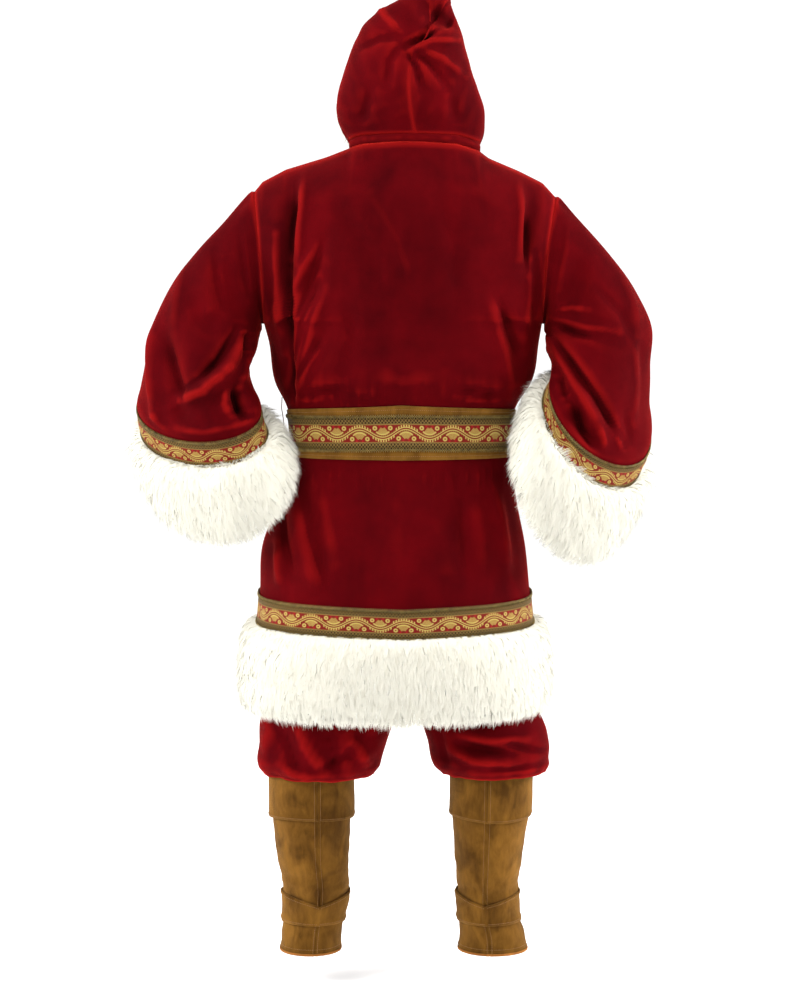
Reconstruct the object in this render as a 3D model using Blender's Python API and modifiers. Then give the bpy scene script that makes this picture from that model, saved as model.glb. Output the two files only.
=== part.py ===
"""Hooded velvet Santa suit with fur, brocade bands, belt, trousers and boot covers.

The suit keeps the hollow form it has when worn, hands on hips, with nobody in it.
Tables are in millimetres. X runs to the wearer's left, the front faces -Y, and heights
are measured up from the floor. The object's origin is at the base of the neck.
"""

import math

import bmesh
import bpy
import numpy as np

MM = 0.001
SUIT = "santa_suit"

# Driving sizes, millimetres.
NECK_HEIGHT = 1580.0      # the origin, above the floor the wearer would stand on
WALL = 1.6                # velvet
SUEDE = 2.0
BELT_OFF = 0.6            # the belt's inner face off the coat
BROCADE = 1.4
SEAM = 0.3                # gap between two sewn pieces
SEAM_FLARE = 0.21         # how far a panel's edge turns off its seam
TRIM_OFF = 1.3            # the hem's brocade off the coat
CUFF_TRIM_OFF = 0.7       # the cuffs' brocade off the sleeve
PILE = 27.0               # how far the fur stands off its cloth

HEM = 556.0               # the coat's own cloth ends inside the hem fur
UNDERARM = 1265.0
SHOULDER_ROLL = 92.0      # how far below the shoulder line the body reaches full depth
SQUARENESS = 2.4          # exponent of the body's superellipse sections
ARM_BLEND = 0.273         # share of the armhole over which the sections lose their squareness
ARMHOLE_BACK = 75.0       # half depth of the armhole behind and in front of its top
ARMHOLE_FRONT = 66.0
NECK_CENTRE = -22.0
NECK_HALF_WIDTH = 122.0
NECK_BACK = 85.0
NECK_FRONT = 82.0
NECK_DROP = 62.0          # how far the front neckline dips

BELT_BOTTOM = (1017.0, 1014.0)    # at the sides, at the centre back
BELT_TOP = (1102.0, 1116.0)
BROCADE_HEIGHT = 62.0
WAIST = 1057.0            # folds stop short of the belt, this high
WAIST_CLEAR = 56.0        # half height of the smooth cloth under it
HEM_TRIM_TOP = 757.0
HEM_TRIM_BOTTOM = 704.0
HEM_FUR_BOTTOM = 541.0
HEM_SAG = 15.0            # how far the trim dips at the centre back

NECK_COLUMNS = 11         # the back panel's columns across the neckline
BACK_SHOULDERS = (7, 6)   # and across the left and the right shoulder
FRONT_NECK = (4, 5)       # the left and the right front's columns across the neckline
FRONT_SHOULDERS = (6, 5)
RING = 20                 # points round a sleeve

# The coat's body: height, half width to the wearer's left and right, depth behind and in front.
BODY_SECTIONS = (
    (530.0, 285.0, 254.0, 198.0, 196.0),
    (640.0, 281.0, 251.0, 196.0, 192.0),
    (756.0, 272.0, 241.0, 188.0, 184.0),
    (847.0, 267.0, 232.0, 176.0, 174.0),
    (930.0, 236.0, 216.0, 154.0, 160.0),
    (1010.0, 211.0, 207.0, 124.0, 148.0),
    (1058.0, 211.0, 208.0, 120.0, 146.0),
    (1110.0, 220.0, 214.0, 125.0, 150.0),
    (1150.0, 240.0, 240.0, 140.0, 160.0),
    (1235.0, 254.0, 257.0, 148.0, 160.0),
    (1265.0, 262.0, 262.0, 150.0, 158.0),
    (1400.0, 280.0, 280.0, 158.0, 146.0),
    (1500.0, 288.0, 288.0, 142.0, 114.0),
    (1550.0, 288.0, 288.0, 118.0, 94.0),
    (1600.0, 288.0, 288.0, 96.0, 84.0),
)

# The armhole seam: share of its height, distance across to the left and to the right.
ARMHOLE = (
    (0.00, 262.0, -262.0),
    (0.25, 264.0, -264.0),
    (0.50, 267.0, -268.0),
    (0.75, 272.0, -276.0),
    (1.00, 279.0, -286.0),
)

# The shoulder and back neck line: distance across, height.
SHOULDER_LINE = (
    (-286.0, 1503.0),
    (-262.0, 1529.0),
    (-218.0, 1551.0),
    (-161.0, 1575.0),
    (-144.0, 1588.0),
    (-100.0, 1599.0),
    (0.0, 1601.0),
    (75.0, 1599.0),
    (100.0, 1594.0),
    (144.0, 1577.0),
    (220.0, 1554.0),
    (264.0, 1531.0),
    (279.0, 1513.0),
)

# Heights of the coat body's rows under the arms, and shares of the armhole above.
LOW_ROWS = (HEM, 625.0, 704.0, 757.0, 815.0, 880.0, 945.0, 1005.0, 1058.0, 1116.0, 1160.0, 1212.0)
HIGH_ROWS = (0.0, 0.1, 0.2, 0.3, 0.4, 0.5, 0.6, 0.7, 0.8, 0.9, 0.97, 1.0)

# Long folds: top, middle and bottom as (across, height), then width and push outward.
BACK_FOLDS = (
    ((203, 1530), (214, 1420), (222, 1309), 19, -13),
    ((222, 1309), (232, 1208), (218, 1132), 19, -12),
    ((248, 1370), (249, 1330), (252, 1292), 15, -7),
    ((150, 1395), (175, 1350), (198, 1309), 18, -6),
    ((148, 1355), (176, 1290), (200, 1200), 18, -7),
    ((144, 1248), (170, 1195), (198, 1140), 18, -6),
    ((-232, 1533), (-239, 1480), (-232, 1378), 19, -10),
    ((-249, 1398), (-249, 1326), (-239, 1258), 17, -9),
    ((-177, 1309), (-205, 1226), (-222, 1140), 20, -7),
    ((60, 1180), (0, 1160), (-70, 1180), 24, 5),
    ((198, 942), (182, 868), (150, 733), 20, 9),
    ((246, 868), (251, 820), (254, 777), 16, -8),
    ((90, 930), (70, 860), (66, 780), 26, -4),
    ((-60, 930), (-76, 850), (-80, 780), 26, 4),
    ((-190, 930), (-214, 850), (-220, 777), 19, -7),
)
FRONT_FOLDS = (
    ((210, 1500), (216, 1400), (224, 1300), 20, -9),
    ((-212, 1490), (-220, 1400), (-226, 1300), 20, -10),
    ((130, 1330), (165, 1240), (196, 1150), 20, -7),
    ((-120, 1340), (-160, 1240), (-190, 1150), 20, -6),
    ((170, 940), (160, 860), (150, 770), 22, 8),
    ((-165, 930), (-172, 850), (-176, 770), 22, -7),
    ((70, 930), (62, 860), (60, 780), 24, -5),
)

# Sleeve rings: step, outer (across, height), inner (across, height), middle depth,
# half depth, sag of the back side, its shift inward, and how far the inner side leans back.
LEFT_RINGS = (
    (1.0, 331, 1463, 267, 1257, 5, 82, 0, 0, 0),
    (2.0, 393, 1395, 269, 1248, 14, 90, 4, 0, 0),
    (3.0, 443, 1326, 270, 1238, 24, 97, 10, 0, 5),
    (4.0, 471, 1258, 276, 1214, 34, 103, 22, 5, 10),
    (5.0, 485, 1189, 287, 1188, 42, 104, 36, 12, 20),
    (6.0, 494, 1144, 280, 1152, 46, 98, 46, 18, 30),
    (7.0, 500, 1098, 266, 1108, 48, 92, 56, 22, 38),
    (8.0, 493, 1053, 254, 1068, 48, 92, 60, 25, 42),
    (9.0, 453, 952, 228, 1000, 52, 97, 86, 28, 45),
)
RIGHT_RINGS = (
    (1.0, -327, 1463, -266, 1256, 5, 82, 0, 0, 0),
    (2.0, -388, 1395, -268, 1248, 14, 90, 4, 0, 0),
    (3.0, -437, 1326, -268, 1240, 24, 97, 10, 0, 5),
    (4.0, -468, 1258, -269, 1214, 34, 103, 22, 5, 10),
    (5.0, -466, 1180, -276, 1196, 42, 102, 38, 14, 20),
    (6.0, -464, 1110, -276, 1180, 46, 98, 54, 22, 30),
    (7.0, -464, 1030, -276, 1160, 50, 94, 68, 28, 36),
    (8.0, -448, 992, -262, 1133, 52, 92, 79, 28, 40),
    (9.0, -397, 892, -228, 1036, 60, 95, 92, 30, 48),
)
SLEEVE_STEPS = (0.0, 0.04, 0.5, 1.0, 1.5, 2.0, 2.5, 3.0, 3.5, 4.0, 4.5, 5.0, 5.5, 6.0, 6.5, 7.0, 7.5,
                8.0, 8.5, 9.0)
TRIM_STEPS = (7.0, 8.0)
LEFT_SLEEVE_FOLDS = (
    ((466, 1285), (462, 1200), (454, 1110), 17, 8),
    ((436, 1240), (424, 1170), (410, 1105), 17, -9),
    ((300, 1265), (334, 1180), (402, 1135), 19, 10),
    ((330, 1150), (318, 1125), (322, 1100), 18, -11),
    ((330, 1400), (318, 1340), (300, 1285), 20, -7),
    ((390, 1330), (372, 1280), (330, 1255), 18, -6),
)
RIGHT_SLEEVE_FOLDS = (
    ((-276, 1258), (-334, 1170), (-360, 1112), 19, 10),
    ((-315, 1117), (-332, 1070), (-352, 1030), 17, -11),
    ((-280, 1262), (-340, 1262), (-400, 1236), 18, -8),
    ((-286, 1232), (-350, 1210), (-410, 1150), 18, -7),
    ((-330, 1400), (-316, 1340), (-300, 1285), 20, -7),
    ((-440, 1260), (-446, 1180), (-440, 1100), 17, -7),
)

# The hood's sections: share of its height, half width, middle, back.
HOOD_SECTIONS = (
    (0.00, 122.0, -22.0, 85.0),
    (0.10, 135.0, -18.0, 90.0),
    (0.22, 139.0, -14.0, 100.0),
    (0.36, 130.0, -11.0, 108.0),
    (0.50, 118.0, -10.0, 112.0),
    (0.62, 107.0, -11.0, 110.0),
    (0.72, 98.0, -14.0, 104.0),
    (0.80, 87.0, -18.0, 96.0),
    (0.87, 71.0, -25.0, 88.0),
    (0.93, 54.0, -35.0, 80.0),
    (0.97, 40.0, -44.0, 73.0),
    (1.00, 0.0, -48.0, 66.0),
)
HOOD_COLUMNS = 12
HOOD_ROWS = (0.0, 0.05, 0.1, 0.16, 0.22, 0.36, 0.5, 0.62, 0.72, 0.8, 0.87, 0.93, 0.97, 1.0)
HOOD_FACE = -108.0        # the face opening's plane at cheek height
HOOD_BEND = 0.62          # share of a half's columns that go round the back of the head
HOOD_CLOSE = 60.0         # degrees the lower edge goes on past the side, along the neckline
NECK_STAND = 15.0         # the neck band's height
RIDGE_GAP = 0.36          # each hood half off the seam over the head
HOOD_RIDGE = (            # share of the way from back to face, height of the top seam
    (0.00, 1802.0),
    (0.25, 1858.0),
    (0.50, 1880.0),
    (0.75, 1864.0),
    (1.00, 1836.0),
)
HOOD_FOLDS = (            # the flopped point's hollow and the lip under it
    ((-48, 1846), (-72, 1830), (-96, 1822), 20, -30),
    ((-6, 1775), (-60, 1797), (-108, 1800), 15, 9),
)

# Trouser legs: height, middle across, half width, depth behind, depth in front.
LEFT_LEG = (
    (408.0, 158.0, 112.0, 108.0, 104.0),
    (428.0, 160.0, 118.0, 118.0, 112.0),
    (470.0, 152.0, 122.0, 122.0, 114.0),
    (510.0, 145.0, 128.0, 124.0, 114.0),
    (580.0, 138.0, 122.0, 120.0, 112.0),
    (700.0, 122.0, 112.0, 118.0, 112.0),
    (800.0, 106.0, 103.0, 122.0, 114.0),
)
RIGHT_LEG = (
    (404.0, -176.0, 104.0, 106.0, 104.0),
    (430.0, -168.0, 112.0, 116.0, 110.0),
    (470.0, -163.0, 116.0, 120.0, 112.0),
    (505.0, -152.0, 116.0, 120.0, 112.0),
    (560.0, -136.0, 108.0, 118.0, 110.0),
    (700.0, -118.0, 108.0, 116.0, 110.0),
    (800.0, -104.0, 101.0, 122.0, 114.0),
)
SEAT = (                  # height, half width, depth behind, depth in front
    (860.0, 204.0, 138.0, 122.0),
    (930.0, 194.0, 130.0, 118.0),
    (1000.0, 178.0, 106.0, 110.0),
)
LEG_ROWS = (408.0, 424.0, 448.0, 480.0, 520.0, 580.0, 660.0, 740.0, 800.0, 860.0, 895.0, 930.0, 965.0, 1000.0)
LEG_COLUMNS = 16
CROTCH = (800.0, 860.0)   # the leg rings turn into the seat between these heights
WAISTBAND_TOP = 1038.0
LEG_GAP = 0.24            # each trouser half off the seam between them

# Boot covers: height, middle across, half width, depth behind, depth in front.
LEFT_BOOT = (
    (64.0, 178.0, 58.0, 62.0, 138.0),
    (95.0, 176.0, 58.0, 58.0, 112.0),
    (130.0, 172.0, 58.0, 57.0, 86.0),
    (180.0, 168.0, 63.0, 62.0, 72.0),
    (250.0, 173.0, 69.0, 72.0, 70.0),
    (330.0, 175.0, 76.0, 80.0, 74.0),
    (440.0, 176.0, 80.0, 82.0, 78.0),
)
RIGHT_BOOT = (
    (64.0, -173.0, 66.0, 62.0, 138.0),
    (95.0, -172.0, 62.0, 58.0, 112.0),
    (130.0, -165.0, 58.0, 57.0, 86.0),
    (180.0, -163.0, 58.0, 62.0, 72.0),
    (250.0, -165.0, 65.0, 72.0, 70.0),
    (330.0, -168.0, 73.0, 80.0, 74.0),
    (440.0, -170.0, 78.0, 82.0, 78.0),
)
BOOT_ROWS = (64.0, 95.0, 118.0, 141.0, 164.0, 195.0, 230.0, 280.0, 328.0, 362.0, 396.0, 430.0, 440.0)
CUFF_ROWS = (328.0, 362.0, 396.0, 430.0)
STRAP_ROWS = (122.0, 141.0, 160.0)
STRAP_RISE = 20.0         # how much higher the strap's upper edge is at the sides
STRAP_OFF = 1.1
BOOT_CUFF_OFF = 0.7
BOOT_COLUMNS = 16

BUCKLE_WIDTH = 74.0
BUCKLE_HEIGHT = 122.0
BUCKLE_BAR = 8.0
BUCKLE_DEPTH = 4.0
BUCKLE_SINK = 1.6         # how much nearer the coat the buckle's sides are than its middle
PRONG = ((2.0, -2.5), (5.2, -2.5), (5.2, 2.5), (2.0, 2.5))    # its section: outward, up
BELT_LOOP = (             # height, distance off the coat
    (992.0, 0.0),
    (1008.0, 10.0),
    (1058.0, 12.0),
    (1106.0, 10.0),
    (1126.0, 0.0),
)
LOOP_OFF = {"left": 0.9, "right": 1.2}
LOOP_HALF_WIDTH = 4.0
LOOP_WALL = 1.2

# The hem fur's section: share of its height from the lower edge, distance off the coat.
HEM_FUR_SECTION = (
    (0.99, 1.1),
    (0.50, 1.1),
    (0.10, 1.1),
    (0.03, 3.1),
    (0.00, 13.1),
    (0.03, PILE - 1.9),
    (0.35, PILE + 4.1),
    (0.80, PILE + 1.1),
    (0.97, 14.1),
)
# A cuff fur's section: share of its length from the band on, distance off the sleeve.
CUFF_FUR_SECTION = (
    (0.02, 0.9),
    (0.50, 0.9),
    (0.90, 0.9),
    (1.12, 3.0),
    (1.17, 13.0),
    (1.10, PILE - 4),
    (0.70, PILE + 2),
    (0.30, PILE),
    (0.03, 14.0),
)
# The face fur's section: steps back from the edge, distance off the hood, distance ahead.
FACE_FUR_SECTION = (
    (2, 1.5, 0.0),
    (1, 1.5, 0.0),
    (0, 1.5, 1.5),
    (0, -8.0, 1.2),
    (0, -6.0, 13.0),
    (0, 9.0, 18.0),
    (0, 22.0, 6.0),
    (1, 24.0, 0.0),
    (2, 15.0, 0.0),
)


def column(rows, index, at):
    """Smooth curve through one column of a table, at a value of its first column."""
    xs = np.array([row[0] for row in rows], float)
    ys = np.array([row[index] for row in rows], float)
    slopes = np.gradient(ys, xs)
    k = int(np.clip(np.searchsorted(xs, at) - 1, 0, len(xs) - 2))
    span = xs[k + 1] - xs[k]
    t = min(max((at - xs[k]) / span, 0.0), 1.0)
    return (
        (1 + 2 * t) * (1 - t) ** 2 * ys[k]
        + t * (1 - t) ** 2 * span * slopes[k]
        + t * t * (3 - 2 * t) * ys[k + 1]
        - t * t * (1 - t) * span * slopes[k + 1]
    )


def ease(value):
    """0 below 0, 1 above 1, smooth between."""
    t = min(max(value, 0.0), 1.0)
    return t * t * (3 - 2 * t)


def superellipse(turn):
    """Share of the width and of the depth, for a turn of -1 to 1 from one side to the other."""
    angle = turn * math.pi / 2
    wide = math.copysign(abs(math.sin(angle)) ** (2 / SQUARENESS), turn)
    return wide, abs(math.cos(angle)) ** (2 / SQUARENESS)


def distance_to_fold(x, h, fold):
    """Distance from a point of the cloth, seen from behind, to a fold's bent line."""
    best = 1e9
    for a, b in zip(fold[:2], fold[1:3]):
        run, rise = b[0] - a[0], b[1] - a[1]
        t = ((x - a[0]) * run + (h - a[1]) * rise) / (run * run + rise * rise)
        t = min(max(t, 0.0), 1.0)
        best = min(best, math.hypot(x - a[0] - t * run, h - a[1] - t * rise))
    return best


def fold_push(x, h, folds):
    """How far the folds push the cloth out (plus) or in (minus)."""
    return sum(fold[4] * math.exp(-((distance_to_fold(x, h, fold) / fold[3]) ** 2)) for fold in folds)


def grid_normals(grid, wrap):
    """Unit normals of a grid of points, facing away from the middle of each row."""
    along = np.gradient(grid, axis=0)
    if wrap:
        across = (np.roll(grid, -1, axis=1) - np.roll(grid, 1, axis=1)) / 2
    else:
        across = np.gradient(grid, axis=1)
    normals = np.cross(along, across)
    normals /= np.maximum(np.linalg.norm(normals, axis=2), 1e-9)[:, :, None]
    middle = grid.mean(axis=1, keepdims=True)
    if ((grid - middle) * normals).sum() < 0:
        normals = -normals
    return normals


def material(name, colour, roughness, metallic=0.0):
    """One Principled material for a sub-part."""
    made = bpy.data.materials.new(name)
    made.use_nodes = True
    shader = made.node_tree.nodes["Principled BSDF"]
    shader.inputs["Base Color"].default_value = (*colour, 1.0)
    shader.inputs["Roughness"].default_value = roughness
    shader.inputs["Metallic"].default_value = metallic
    return made


VELVET_RED = (0.16, 0.006, 0.009)
SUEDE_TAN = (0.19, 0.085, 0.018)
FUR_WHITE = (0.90, 0.87, 0.78)
BROCADE_GOLD = (0.36, 0.17, 0.05)
BRASS = (0.62, 0.45, 0.18)


def loft(name, grid, finish, wrap=False, close=False, wall=0.0, outward=False):
    """A named object over a grid of points: a wall with Solidify, or a solid ring or bar.

    wrap joins each row's ends, close joins the last row to the first, and a solid that
    isn't closed that way gets a flat end at its first and last rows.
    """
    grid = np.asarray(grid, float)
    rows, columns = grid.shape[:2]
    mesh = bpy.data.meshes.new(name)
    bm = bmesh.new()
    verts = [[bm.verts.new((p[0] * MM, p[1] * MM, (p[2] - NECK_HEIGHT) * MM)) for p in row] for row in grid]
    for i in range(rows if close else rows - 1):
        for j in range(columns if wrap else columns - 1):
            a, b = verts[i], verts[(i + 1) % rows]
            k = (j + 1) % columns
            bm.faces.new((a[j], a[k], b[k], b[j]))
    if wall == 0.0 and not close:
        bm.faces.new(verts[0][::-1])
        bm.faces.new(verts[-1])
    bm.normal_update()
    if wall == 0.0:
        facing = bm.calc_volume(signed=True)
    else:
        middles = grid.mean(axis=1) * MM
        middles[:, 2] -= NECK_HEIGHT * MM
        facing = 0.0
        for index, face in enumerate(bm.faces):
            middle = middles[index // (columns if wrap else columns - 1)]
            out = np.array(face.calc_center_median()) - middle
            facing += float(np.dot(out, np.array(face.normal))) * face.calc_area()
    if facing < 0:
        bmesh.ops.reverse_faces(bm, faces=bm.faces[:])
    bm.to_mesh(mesh)
    bm.free()
    mesh.shade_smooth()
    mesh.set_sharp_from_angle(angle=math.radians(50))
    made = bpy.data.objects.new(name, mesh)
    bpy.data.collections[SUIT].objects.link(made)
    mesh.materials.append(material(name + "_finish", *finish))
    if wall:
        shell = made.modifiers.new("wall", "SOLIDIFY")
        shell.thickness = wall * MM
        shell.offset = 1.0 if outward else -1.0
    return made


VELVET = (VELVET_RED, 0.75)
SUEDED = (SUEDE_TAN, 0.85)
FURRY = (FUR_WHITE, 0.9)
BROCADED = (BROCADE_GOLD, 0.45)
METAL = (BRASS, 0.3, 1.0)


def neckline_depth(x, back):
    """Depth of the neckline at a distance across, 0 out on the shoulder seams."""
    off = (x - NECK_CENTRE) / NECK_HALF_WIDTH
    return (NECK_BACK if back else NECK_FRONT) * math.sqrt(max(0.0, 1.0 - off * off))


def body_top(x, back):
    """Height of the body's upper edge: shoulder line and neckline."""
    height = float(np.interp(x, [row[0] for row in SHOULDER_LINE], [row[1] for row in SHOULDER_LINE]))
    return height if back else height - NECK_DROP * neckline_depth(x, False) / NECK_FRONT


def body_point(turn, height, share, back):
    """A point of the coat's body before folds.

    turn runs from -1 at the wearer's right to 1 at the left. Under the arms the row is
    at a height and share is None; above, share runs from the underarm to the shoulder.
    """
    wide, deep = superellipse(turn)
    sign = 1.0 if back else -1.0
    depth_column = 3 if back else 4
    if share is None or share == 0.0:
        h = UNDERARM if share == 0.0 else height
        left, right = column(BODY_SECTIONS, 1, h), column(BODY_SECTIONS, 2, h)
        x = (left - right) / 2 + wide * (left + right) / 2
        return x, sign * column(BODY_SECTIONS, depth_column, h) * deep, h
    rise = (1 - math.cos(math.pi * share)) / 2
    flat = ease(rise / ARM_BLEND)
    wide = wide + (turn - wide) * flat
    left, right = column(ARMHOLE, 1, rise), column(ARMHOLE, 2, rise)
    x = (left + right) / 2 + wide * (left - right) / 2
    top = body_top(x, back)
    h = UNDERARM + (top - UNDERARM) * rise
    power = 1 / SQUARENESS + (1 - 1 / SQUARENESS) * flat
    full = max(0.0, 1 - abs(wide) ** SQUARENESS) ** power
    edge = (ARMHOLE_BACK if back else ARMHOLE_FRONT) * math.sin(math.pi * share)
    drop = min(1.0, (top - h) / SHOULDER_ROLL)
    roll = math.sqrt(max(0.0, 1 - (1 - drop) ** 2))
    upper = neckline_depth(x, back)
    rounded = upper + (column(BODY_SECTIONS, depth_column, h) - upper) * roll
    return x, sign * (edge * (1 - full) + rounded * full), h


def neck_turn(sign):
    """The turn at which a body column ends at the neck's side."""
    left, right = ARMHOLE[-1][1], ARMHOLE[-1][2]
    return (NECK_CENTRE + sign * NECK_HALF_WIDTH - (left + right) / 2) / ((left - right) / 2)


def spread(stops, counts):
    """Evenly spaced turns between each two stops."""
    turns = [stops[0]]
    for start, end, count in zip(stops, stops[1:], counts):
        turns += [start + (end - start) * (step + 1) / count for step in range(count)]
    return turns


def body_panel(turns, back, folds):
    """Grid of a body panel, hem to shoulder, with its folds and its seam gaps."""
    rows = [[body_point(turn, height, None, back) for turn in turns] for height in LOW_ROWS]
    rows += [[body_point(turn, None, share, back) for turn in turns] for share in HIGH_ROWS]
    grid = np.array(rows, float)
    normals = grid_normals(grid, False)
    sign = 1.0 if back else -1.0
    for i in range(len(grid)):
        for j, turn in enumerate(turns):
            x, _, h = grid[i, j]
            away = ease((abs(h - WAIST) - WAIST_CLEAR) / 30.0) * ease((body_top(x, back) - h) / 90.0)
            away *= ease((h - HEM_TRIM_TOP) / 60.0) * ease((1 - abs(turn)) / 0.25)
            if not back:
                away *= ease(abs(turn) / 0.1)
            grid[i, j] += normals[i, j] * fold_push(x, h, folds) * away
    for j, turn in enumerate(turns):
        if abs(turn) > 0.999:
            grid[:len(LOW_ROWS) + 1, j, 1] += sign * SEAM_FLARE
    grid[-1, :, 1] += sign * SEAM_FLARE
    return grid


def build_body():
    """The back and the two fronts; returns their grids."""
    left, right = neck_turn(1), neck_turn(-1)
    back_turns = spread((1.0, left, right, -1.0), (BACK_SHOULDERS[0], NECK_COLUMNS, BACK_SHOULDERS[1]))
    left_turns = spread((0.0, left, 1.0), (FRONT_NECK[0], FRONT_SHOULDERS[0]))
    right_turns = spread((-1.0, right, 0.0), (FRONT_SHOULDERS[1], FRONT_NECK[1]))
    back = body_panel(back_turns, True, BACK_FOLDS)
    left = body_panel(left_turns, False, FRONT_FOLDS)
    right = body_panel(right_turns, False, FRONT_FOLDS)
    left[:, 0, 0] += SEAM / 2
    right[:, -1, 0] -= SEAM / 2
    loft("coat_back", back, VELVET, wall=WALL)
    loft("coat_front_left", left, VELVET, wall=WALL)
    loft("coat_front_right", right, VELVET, wall=WALL)
    return back, left, right


def at_height(line, height):
    """The point of one upright line of cloth points at a height."""
    return np.array([np.interp(height, line[:, 2], line[:, k]) for k in range(3)])


def coat_round(panels, stop):
    """The coat's upright lines, centre front round the left, back and right to centre front."""
    back, left, right = (panel[:stop] for panel in panels)
    lines = [left[:, j] for j in range(left.shape[1] - 1)]
    lines += [back[:, j] for j in range(back.shape[1])]
    lines += [right[:, j] for j in range(1, right.shape[1])]
    return lines


def outward_of(lines, index):
    """Unit direction away from the coat at one of its upright lines, level."""
    before = lines[max(index - 1, 0)].mean(axis=0)
    after = lines[min(index + 1, len(lines) - 1)].mean(axis=0)
    run = (after - before)[:2]
    out = np.array([run[1], -run[0], 0.0]) / np.linalg.norm(run)
    return -out if np.dot(out[:2], lines[index].mean(axis=0)[:2]) < 0 else out


def backness(line):
    """1 on the centre back, 0 on the sides and in front."""
    x, y = line.mean(axis=0)[:2]
    return max(0.0, y / (abs(y) + abs(x) * 0.6 + 1e-9))


def build_hem(panels):
    """Brocade band and deep fur round the hem, open at the centre front."""
    lines = coat_round(panels, LOW_ROWS.index(880.0) + 1)
    trim, fur = [], []
    for index, line in enumerate(lines):
        out = outward_of(lines, index)
        sag = HEM_SAG * backness(line)
        top, bottom = HEM_TRIM_TOP - sag, HEM_TRIM_BOTTOM - sag
        trim.append([at_height(line, h) + out * TRIM_OFF for h in (bottom, top)])
        tall = bottom - SEAM - HEM_FUR_BOTTOM
        ring = []
        for share, off in HEM_FUR_SECTION:
            height = HEM_FUR_BOTTOM + share * tall
            point = at_height(line, max(height, HEM)) + out * off
            point[2] = height
            ring.append(point)
        fur.append(ring)
    loft("hem_trim", np.array(trim).transpose(1, 0, 2), BROCADED, wall=BROCADE, outward=True)
    loft("hem_fur", fur, FURRY, wrap=True)


def build_belt(panels):
    """Belt, the brocade along it, a plain buckle at the front and a loop at each side."""
    lines = coat_round(panels, len(LOW_ROWS))
    belt, trim, middles = [], [], []
    for index, line in enumerate(lines):
        out = outward_of(lines, index)
        behind = backness(line)
        low = BELT_BOTTOM[0] + (BELT_BOTTOM[1] - BELT_BOTTOM[0]) * behind
        high = BELT_TOP[0] + (BELT_TOP[1] - BELT_TOP[0]) * behind
        middle = (low + high) / 2
        middles.append(middle)
        belt.append([at_height(line, h) + out * BELT_OFF for h in (low, middle, high)])
        half = BROCADE_HEIGHT / 2
        trim.append([at_height(line, h) + out * (BELT_OFF + SUEDE + 3 * SEAM)
                     for h in (middle - half, middle + half)])
    loft("belt", np.array(belt).transpose(1, 0, 2), SUEDED, wall=SUEDE, outward=True)
    loft("belt_trim", np.array(trim).transpose(1, 0, 2), BROCADED, wall=BROCADE, outward=True)
    front = lines[0]
    fullest = min(at_height(front, h)[1] for h in (BELT_BOTTOM[0], middles[0], BELT_TOP[0]))
    depth = fullest - BELT_OFF - SUEDE - BROCADE - 4 * SEAM + BUCKLE_SINK
    frame = []
    for right, up in ((-1, -1), (1, -1), (1, 1), (-1, 1)):
        corner = []
        for wide, off in ((0, 0), (0, BUCKLE_DEPTH), (BUCKLE_BAR, BUCKLE_DEPTH), (BUCKLE_BAR, 0)):
            x = right * (BUCKLE_WIDTH / 2 - wide)
            z = middles[0] + up * (BUCKLE_HEIGHT / 2 - wide)
            corner.append((x, depth - off, z))
        frame.append(corner)
    loft("belt_buckle", frame, METAL, wrap=True, close=True)
    prong_half = BUCKLE_WIDTH / 2 - BUCKLE_BAR - SEAM
    prong = [[(x, depth - off, middles[0] + up) for off, up in PRONG] for x in (-prong_half, prong_half)]
    loft("belt_prong", prong, METAL, wrap=True)
    for side, index in (("left", sum(FRONT_NECK[:1] + FRONT_SHOULDERS[:1])),
                        ("right", len(lines) - 1 - FRONT_NECK[1] - FRONT_SHOULDERS[1])):
        line, out = lines[index], outward_of(lines, index)
        strip = []
        for height, off in BELT_LOOP:
            point = at_height(line, height) + out * (off + LOOP_OFF[side])
            strip.append([point + np.array([0, y, 0]) for y in (-LOOP_HALF_WIDTH, LOOP_HALF_WIDTH)])
        loft("belt_loop_" + side, strip, VELVET, wall=LOOP_WALL, outward=True)


def sleeve_point(rings, sign, step, turn):
    """A point of a sleeve; turn goes from the underarm up the back, over and down the front."""
    angle = turn * 2 * math.pi
    share = turn * 2 if turn <= 0.5 else 2 - turn * 2
    seam = np.array(body_point(sign, None, share, turn <= 0.5), float)
    seam[0] += sign * (SEAM + 0.15)
    if step < 0.05:
        return seam + np.array([sign * (step / 0.04) * 5.0, 0, 0])
    at = max(step, 1.0)
    outer = np.array([column(rings, 1, at), column(rings, 2, at)])
    inner = np.array([column(rings, 3, at), column(rings, 4, at)])
    middle, half = (outer + inner) / 2, (inner - outer) / 2
    sag, shift = column(rings, 7, at) * math.sin(angle), column(rings, 8, at) * math.sin(angle)
    flat = middle + half * math.cos(angle)
    y = column(rings, 5, at) + column(rings, 6, at) * math.sin(angle)
    y += column(rings, 9, at) * math.cos(angle)
    point = np.array([flat[0] - sign * shift, y, flat[1] - sag])
    if step < 1.0:
        start = seam + np.array([sign * 5.0, 0, 0])
        point = start + (point - start) * step
    return point


def sleeve_grid(rings, sign, folds):
    """All the points of a sleeve, folds included."""
    turns = [j / RING for j in range(RING)]
    grid = np.array([[sleeve_point(rings, sign, step, turn) for turn in turns]
                     for step in SLEEVE_STEPS])
    normals = grid_normals(grid, True)
    for i, step in enumerate(SLEEVE_STEPS):
        free = ease((step - 0.3) / 1.2) * ease((TRIM_STEPS[0] - 0.2 - step) / 0.8)
        for j in range(RING):
            behind = abs(normals[i, j, 1])
            push = fold_push(grid[i, j, 0], grid[i, j, 2], folds)
            grid[i, j] += normals[i, j] * push * free * ease(behind / 0.6)
    return grid


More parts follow.
